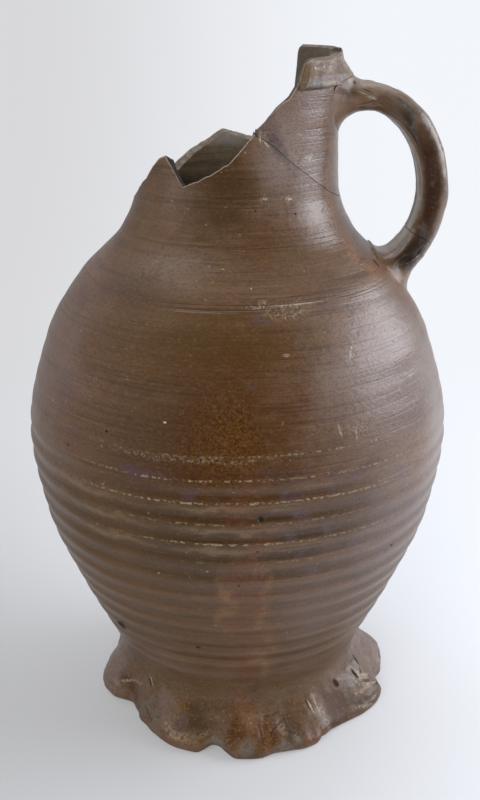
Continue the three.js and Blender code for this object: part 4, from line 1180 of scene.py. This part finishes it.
# Loops round the strap. At the roots the sides reach deeper, so that they follow the round wall
def strapLoops(start, end, count, grow=None):
    made = handleMade
    at = np.linspace(start, end, count)[:, None]
    fromNeck, fromShoulder = at - neckAt, shoulderAt - at
    nearNeck, nearShoulder = made["rootLengths"]
    widening = bell(fromNeck, nearNeck) + made["shoulderShare"] * bell(fromShoulder, nearShoulder)
    widening = made["widening"] * widening
    halfWidth = (made["width"] + widening) / 2
    halfThick = mix(made["crown"], made["bow"], smoothStep(fromNeck, *made["thickens"])) / 2
    halfThick = halfThick + widening * made["swell"]
    angle = (np.arange(made["sides"]) + 0.5) / made["sides"] * 2 * np.pi
    c, s = np.cos(angle)[None], np.sin(angle)[None]
    power = np.where(s > 0, *made["squareness"])
    side = np.sign(c) * np.abs(c) ** power * halfWidth
    groove = np.where(s > 0, made["groove"], 0) * bell(side, halfWidth * made["grooveWidth"])
    out = np.sign(s) * np.abs(s) ** power * halfThick - groove
    for grown in (False, True) if grow else (True,):
        deeper = made["neck"] - np.sqrt(np.maximum(made["neck"] ** 2 - side**2, 0))
        lower = made["shoulder"] - np.sqrt(made["shoulder"] ** 2 - side**2)
        there = at - deeper * (1 - smoothStep(fromNeck, 0, made["rootFade"]))
        there = there + made["shoulderDip"] * lower * (1 - smoothStep(fromShoulder, 0, made["rootFade"]))
        r, z = (np.interp(there, walked, path[:, i]) for i in (0, 1))
        tangent = np.stack([np.interp(there, walked, slopes[:, i]) for i in (0, 1)], -1)
        tangent /= np.linalg.norm(tangent, axis=-1, keepdims=True)
        up, outwards = tangent[..., 0], -tangent[..., 1]
        if not grown:
            extra = grow(r + outwards * out, z + up * out, side, s)
            out, side = out + extra * s, side + extra * c
    x, y, z = r + outwards * out, -side, z + up * out
    turn = math.radians(jug["handleTurn"])
    turned = x * math.cos(turn) - y * math.sin(turn), x * math.sin(turn) + y * math.cos(turn)
    loops = np.stack([*turned, z], -1)
    given = {
        "along": np.broadcast_to(fromNeck, loops.shape[:2]),
        "aroundStrap": np.broadcast_to(np.degrees(np.arctan2(s, c)), loops.shape[:2]),
    }
    return loops, s, given


wear = {
    "lumps": [(9, 1.3, 1), (3.5, 8.1, 0.4)],
    "lumpHeight": 0.4,
    "strokeHeight": 0.2,
    "strokes": 2.6,  # radians of a pulling mark's wave in each mm
    "wander": (14, 4.4, 2),
    "innerSide": -0.2,
    "proud": 0.35,
}


# Pulling marks along the inner face, and the squeeze of a hand all over
def worn(loops, s, lumpHeight, strokeHeight):
    stroke = np.sin(loops[..., 1] * wear["strokes"] + lumpy(loops, [wear["wander"]]))
    lined = np.where(s < wear["innerSide"], 1, 0) * stroke * strokeHeight
    amount = lumpy(loops, wear["lumps"]) * lumpHeight + lined
    return pushed(loops, np.minimum(amount, wear["proud"]), loops.mean(1, keepdims=True))


def makeStrap(name, node, ends, count, lumps, strokes, grow=None):
    loops, s, given = strapLoops(*ends, count, grow)
    piece = loft(name, worn(loops, s, lumps, strokes), False, attributes=given)
    finishPiece(piece, node, handleLook["stains"], handleGlaze, alongStrap)


archEnds = neckAt - handleMade["intoNeck"], breakAt - handleMade["halfBreak"]
stumpEnds = breakAt + handleMade["halfBreak"], shoulderAt + handleMade["intoShoulder"]
heights = wear["lumpHeight"], wear["strokeHeight"]
makeStrap("handleArch", "handle_arch", archEnds, handleMade["archLoops"], *heights)
makeStrap("handleStump", "handle_stump", stumpEnds, handleMade["stumpLoops"], *heights)


# Clay smeared over both roots, as a fillet between the strap and the wall

upperSmear = {
    "span": (-2, 13),  # along the strap from its root
    "loops": 70,
    "outer": 9,  # radii of the fillet on the outer side, the flanks and the inner side
    "side": 6,
    "inner": 10,
    "edge": 0.25,
    "most": 4.6,  # the most it stands out on the outer side
    "sunk": 0.3,
    "lumps": 0.5,
    "face": 43.4,  # radius of the collar's face, and the heights between which it takes the wall's place
    "faceFrom": (258, 265),
}
lowerSmear = {
    "span": (-12, 4.6),
    "loops": 80,
    "outer": 9,
    "side": 7,
    "inner": 6,
    "edge": 0.25,
    "most": 8,
    "sunk": 0.7,
    "lumps": 0.5,
}


def fillet(smear):
    def grow(r, z, side, s):
        slope = (outerRadius(z + 2) - outerRadius(z - 2)) / 4
        face = outerRadius(z)
        if "face" in smear:
            face = mix(face, smear["face"], smoothStep(z, *smear["faceFrom"]) * smoothStep(s, 0, 1))
        away = (np.hypot(r, side) - face) / np.hypot(1, slope) + smear["sunk"]
        radius = mix(smear["side"], np.where(s > 0, smear["outer"], smear["inner"]), s * s)
        left = np.clip(1 - away / radius, 0, 1)
        most = np.where(s > 0, smear["most"], radius)
        return smear["edge"] + np.minimum(radius * (1 - np.sqrt(1 - left * left)), most)

    return grow


def makeSmear(name, node, smear, root):
    start, end = smear["span"]
    makeStrap(name, node, (root + start, root + end), smear["loops"], smear["lumps"], 0, fillet(smear))


makeSmear("upperLuting", "upper_luting", upperSmear, neckAt)
makeSmear("lowerLuting", "lower_luting", lowerSmear, shoulderAt)


# Pinched foot

footMade = {
    "columns": 540,
    "rows": 36,
    "inside": 45.2,
    "reach": 70.6,
    "edge": 5.4,  # height of the pinched edge
    "edgeRound": 2.6,
    "edgeFlat": 0.9,
    "edgeAngles": (-60, 60, 9),
    "lift": 2.2,  # how far an arch stands off the table
    "bed": 0.5,  # the share of the underside that lies flat, and the steps over it and on to the edge
    "bedSteps": (0.33, 0.66, 1),
    "underSteps": (0.5, 1),
    "top": 34,
    "sunk": 0.15,  # how far the top sinks into the wall's skin
    "slopeFrom": 0.04,
    "flare": 2.5,  # power of the slope between the ears
    "earFrom": 0.26,  # share of the way down at which an ear starts to stand out
    "edgeInset": 0.8,
    "hidden": (33, 26, 20, 13, 7),  # heights of the rows inside the wall, and how deep they lie
    "hiddenDepth": 1.4,
    "rim": [  # turn, share of the reach, how far it is lifted off the table, how far it stands as an ear
        (8, 0.993, 0, 1), (21, 0.877, 1, 0.4), (35, 0.941, 0, 0.6), (48, 0.849, 1, 0.4), (62, 0.962, 0, 0.8),
        (76, 0.856, 1, 0.4), (91, 0.926, 0, 0.5), (105, 0.856, 1, 0.4), (119, 0.948, 0, 0.8),
        (134, 0.849, 1, 0.4), (150, 0.926, 0, 0.6), (173, 0.842, 1, 0.4), (194, 0.922, 0.1, 1),
        (203, 0.9, 0.3, 0.8), (214, 0.832, 1, 0.4), (220, 0.845, 0.8, 0.4), (228, 0.876, 0.4, 0.4),
        (235, 0.91, 0.2, 0.3), (248, 0.95, 0, 0), (254, 0.95, 0, 0), (261, 0.892, 1, 0), (270, 0.974, 0, 0),
        (278, 0.98, 0, 0), (284, 0.961, 0.3, 0), (290, 0.963, 0.2, 0), (296, 0.972, 0, 0.1),
        (300.5, 0.965, 0, 0.2), (303.5, 0.935, 0.6, 0.2), (312, 0.928, 0.4, 0.2), (321, 0.95, 0.2, 0.3),
        (328, 0.978, 0, 0.5), (335, 0.998, 0, 0.7), (340, 0.998, 0, 0.7), (346.5, 0.94, 0.8, 0.8),
        (354, 0.968, 0.3, 0.9), (368, 0.993, 0, 1),
    ],
    "folds": [  # turn, half width, lowest, highest, height of the fold
        (305, 3.2, 1, 19, 1.3), (226, 3, 3, 22, 1.1), (335, 4, 8, 18, 1.0), (214, 6, 4, 14, -1.2),
        (322, 7, 3, 15, -0.9), (291, 1.6, 5, 12, 0.7), (286, 1.4, 4, 10, 0.6), (296, 1.5, 5, 11, 0.6),
    ],
    "foldFade": (3, 2, 5),  # a fold comes in from below its lowest to above it, and goes below its highest
    "lumps": [(11, 2.7, 0.8), (4, 5.5, 0.4), (2, 1.9, 0.16)],
    "lumpsFrom": (0.3, 3),  # heights between which lumps and folds come in, and fade out
    "lumpsTo": (14, 30),
    "proud": 1.2,
}


def footLoops():
    made = footMade
    at, shares, lifts, ears = zip(*made["rim"])
    turns = np.linspace(at[0], at[-1], made["columns"], endpoint=False)
    edge = made["reach"] * smoothThrough(list(zip(at, shares)))(turns)
    lift = made["lift"] * smoothThrough(list(zip(at, lifts)))(turns)
    ear = smoothThrough(list(zip(at, ears)))(turns)
    edgeRound = made["edgeRound"]
    bed = mix(made["inside"], edge - edgeRound, made["bed"])
    rows = [around(turns, made["inside"], 0.0)]
    for step in made["bedSteps"]:
        rows.append(around(turns, mix(made["inside"], bed, step), 0.0))
    for step in made["underSteps"]:
        rows.append(around(turns, mix(bed, edge - edgeRound, step), lift * step))
    for angle in np.radians(np.linspace(*made["edgeAngles"])):
        z = lift + made["edge"] / 2 * (1 + math.sin(angle) / made["edgeFlat"])
        rows.append(around(turns, edge - edgeRound + edgeRound * math.cos(angle), z))
    for step in np.linspace(made["slopeFrom"], 1, made["rows"]):
        z = mix(lift + made["edge"], made["top"], step)
        wall = outerRadius(z) - made["sunk"]
        flare = mix((1 - step) ** made["flare"], smoothStep(1 - step, made["earFrom"], 1), ear)
        rows.append(around(turns, wall + (edge - made["edgeInset"] - wall) * flare, z))
    for z in made["hidden"]:
        rows.append(around(turns, outerRadius(z) - made["hiddenDepth"], z))
    loops = np.stack(rows, 1)
    z = loops[..., 2]
    weight = smoothStep(z, *made["lumpsFrom"]) * (1 - smoothStep(z, *made["lumpsTo"]))
    lumps = lumpy(loops, made["lumps"])
    under, over, last = made["foldFade"]
    for turn, halfWidth, lowest, highest, height in made["folds"]:
        beside = (turns[:, None] - turn + 180) % 360 - 180
        tall = smoothStep(z, lowest - under, lowest + over) * (1 - smoothStep(z, highest - last, highest))
        lumps = lumps + height * bell(beside, halfWidth) * tall
    return pushed(loops, np.minimum(lumps, made["proud"]) * weight)


foot = loft("pinchedFoot", footLoops(), True)
finishPiece(foot, "pinched_foot", footLook["stains"], footGlaze)


# The two films of glue stay as they are in the frame

for name in ("neck_glue_film", "handle_glue_film"):
    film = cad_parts[name]
    film.data.materials.clear()
    film.data.materials.append(oldGlue)


# Pale sweep, lamps and camera

studio = {  # in metres
    "front": -0.3,
    "flatTo": 0.1,
    "back": 1.1,
    "halfWidth": 1.6,
    "height": 1.6,
    "bend": 0.5,
    "floor": "#f4f7fc",
    # The left and near-left colours are painted shade: the light falls off towards the left, and the jug's
    # shadow lies near the front left
    "left": "#dadadc",
    "leftNearShadow": "#b9b9ba",
    "leftShadeFade": (-0.3, 0.2),  # places between which the left colours give way to the floor's
    "nearShadowFade": (0.35, -0.1),  # and the left colour to the near one
    "glowFade": (-0.1, 0.7),  # and the near glow to the far one
    "nearGlow": 0.3,
    "farGlow": 0.95,
    "backdrop": "#f2f5fa",
    "backdropLevel": 0.9,  # as the camera sees it
    "tent": 0.6,  # level of the light that the backdrop gives all round, and from its opening
    "opening": 0.05,
    "openTowards": (0, -0.94, 0.34),
    "openFade": (0.5, 0.85),
    "lamps": {  # place, aim, width, height, watts, colour
        "rightBox": ((0.8, 0.08, 0.42), (0, 0, 0.15), 0.68, 0.4, 5.6, "#f4f7ff"),
        "frontFill": ((-0.35, -0.9, 0.55), (0, 0, 0.12), 0.8, 0.6, 6.0, "#fffaf4"),
        "overhead": ((0.0, 0.35, 1.0), (0, 0, 0.1), 0.9, 0.6, 3.0, "#ffffff"),
    },
}


# Matt background paper, with painted shade towards the left and the jug's painted shadow near the front left.
# It glows to the camera alone
def mattPaper():
    material = bpy.data.materials.new("mattPaper")
    material.use_nodes = True
    tree = material.node_tree
    tree.nodes.clear()
    place = addNode(tree, "ShaderNodeTexCoord")["Object"]
    x, y, z = addNode(tree, "ShaderNodeSeparateXYZ", {0: place})
    # Painted shade: darker to the left, and darker still near the front as the jug's shadow
    start, end = studio["nearShadowFade"]
    near = addNode(tree, "ShaderNodeMapRange", {0: y, 1: start, 2: end}, interpolation_type="SMOOTHSTEP")[0]
    colour = addNode(
        tree, "ShaderNodeMix", {0: near, 6: toLinear(studio["left"]), 7: toLinear(studio["leftNearShadow"])},
        data_type="RGBA",
    )[2]
    start, end = studio["leftShadeFade"]
    across = addNode(tree, "ShaderNodeMapRange", {0: x, 1: start, 2: end}, interpolation_type="SMOOTHSTEP")[0]
    colour = addNode(
        tree, "ShaderNodeMix", {0: across, 6: colour, 7: toLinear(studio["floor"])}, data_type="RGBA"
    )[2]
    surface = addNode(
        tree, "ShaderNodeBsdfPrincipled", {"Base Color": colour, "Roughness": 0.9, "Specular IOR Level": 0.1}
    )[0]
    glow = addNode(tree, "ShaderNodeEmission", {0: colour, 1: 1.0})[0]
    start, end = studio["glowFade"]
    far = addNode(
        tree, "ShaderNodeMapRange", {0: y, 1: start, 2: end, 3: studio["nearGlow"], 4: studio["farGlow"]},
        interpolation_type="SMOOTHSTEP",
    )[0]
    seen = addNode(tree, "ShaderNodeLightPath")["Is Camera Ray"]
    far = addNode(tree, "ShaderNodeMath", {0: far, 1: seen}, operation="MULTIPLY")[0]
    surface = addNode(tree, "ShaderNodeMixShader", {0: far, 1: surface, 2: glow})[0]
    addNode(tree, "ShaderNodeOutputMaterial", {0: surface})
    return material


def makeSweep():
    bend, back = studio["bend"], studio["back"]
    profile = [(studio["front"], 0.0), (studio["flatTo"], 0.0)]
    for turn in np.radians(np.linspace(0, 90, 19)):
        profile.append((back - bend + bend * math.sin(turn), bend - bend * math.cos(turn)))
    profile.append((back, studio["height"]))
    wide = np.linspace(-studio["halfWidth"], studio["halfWidth"], 9)
    faces = []
    for row in range(len(profile) - 1):
        for column in range(len(wide) - 1):
            first = row * len(wide) + column
            faces.append((first, first + 1, first + 1 + len(wide), first + len(wide)))
    mesh = bpy.data.meshes.new("paperSweep")
    mesh.from_pydata([(x, y, z) for y, z in profile for x in wide], [], faces)
    mesh.shade_smooth()
    mesh.materials.append(mattPaper())
    sweep = bpy.data.objects.new("paperSweep", mesh)
    bpy.context.scene.collection.objects.link(sweep)
    sweep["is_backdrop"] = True


makeSweep()

for name, (place, aim, width, height, watts, colour) in studio["lamps"].items():
    lamp = bpy.data.lights.new(name, "AREA")
    lamp.shape = "RECTANGLE"
    lamp.size, lamp.size_y = width, height
    lamp.energy = watts
    lamp.color = toLinear(colour)[:3]
    holder = bpy.data.objects.new(name, lamp)
    holder.location = place
    holder.rotation_euler = (Vector(aim) - Vector(place)).to_track_quat("-Z", "Y").to_euler()
    holder.visible_glossy = name != "frontFill"  # the fill lights the clay without a shine of its own
    bpy.context.scene.collection.objects.link(holder)

world = bpy.data.worlds.new("paleStudio")
bpy.context.scene.world = world
world.use_nodes = True
tree = world.node_tree
tree.nodes.clear()
seen = addNode(tree, "ShaderNodeLightPath")["Is Camera Ray"]
towards = addNode(tree, "ShaderNodeTexCoord")["Generated"]
ahead = addNode(tree, "ShaderNodeVectorMath", {0: towards, 1: studio["openTowards"]}, operation="DOT_PRODUCT")
start, end = studio["openFade"]
tent = addNode(
    tree, "ShaderNodeMapRange",
    {0: ahead["Value"], 1: start, 2: end, 3: studio["tent"], 4: studio["opening"]},
    interpolation_type="SMOOTHSTEP",
)[0]
level = addNode(tree, "ShaderNodeMix", {0: seen, 2: tent, 3: studio["backdropLevel"]})[0]
backdrop = addNode(tree, "ShaderNodeBackground", {0: toLinear(studio["backdrop"]), 1: level})[0]
addNode(tree, "ShaderNodeOutputWorld", {0: backdrop})
print("studio made")

view = {"aside": 1.1, "back": 431.75, "height": 299.15, "pitch": 20.51, "lens": 47.25, "sensor": 36}
lens = bpy.data.cameras.new("photoCamera")
lens.lens = view["lens"]
lens.sensor_width = view["sensor"]
lens.clip_start = 0.01
cameraObject = bpy.data.objects.new("photoCamera", lens)
cameraObject.location = (view["aside"] / 1000, -view["back"] / 1000, view["height"] / 1000)
cameraObject.rotation_euler = (math.radians(90 - view["pitch"]), 0, 0)
bpy.context.scene.collection.objects.link(cameraObject)
bpy.context.scene.camera = cameraObject
bpy.context.scene.view_settings.view_transform = "Standard"

low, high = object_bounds()
for title, corners in (("frame", cadBox), ("visual", (low, high))):
    print(title, "box in mm", [round(v * 1000, 2) for corner in corners for v in corner])
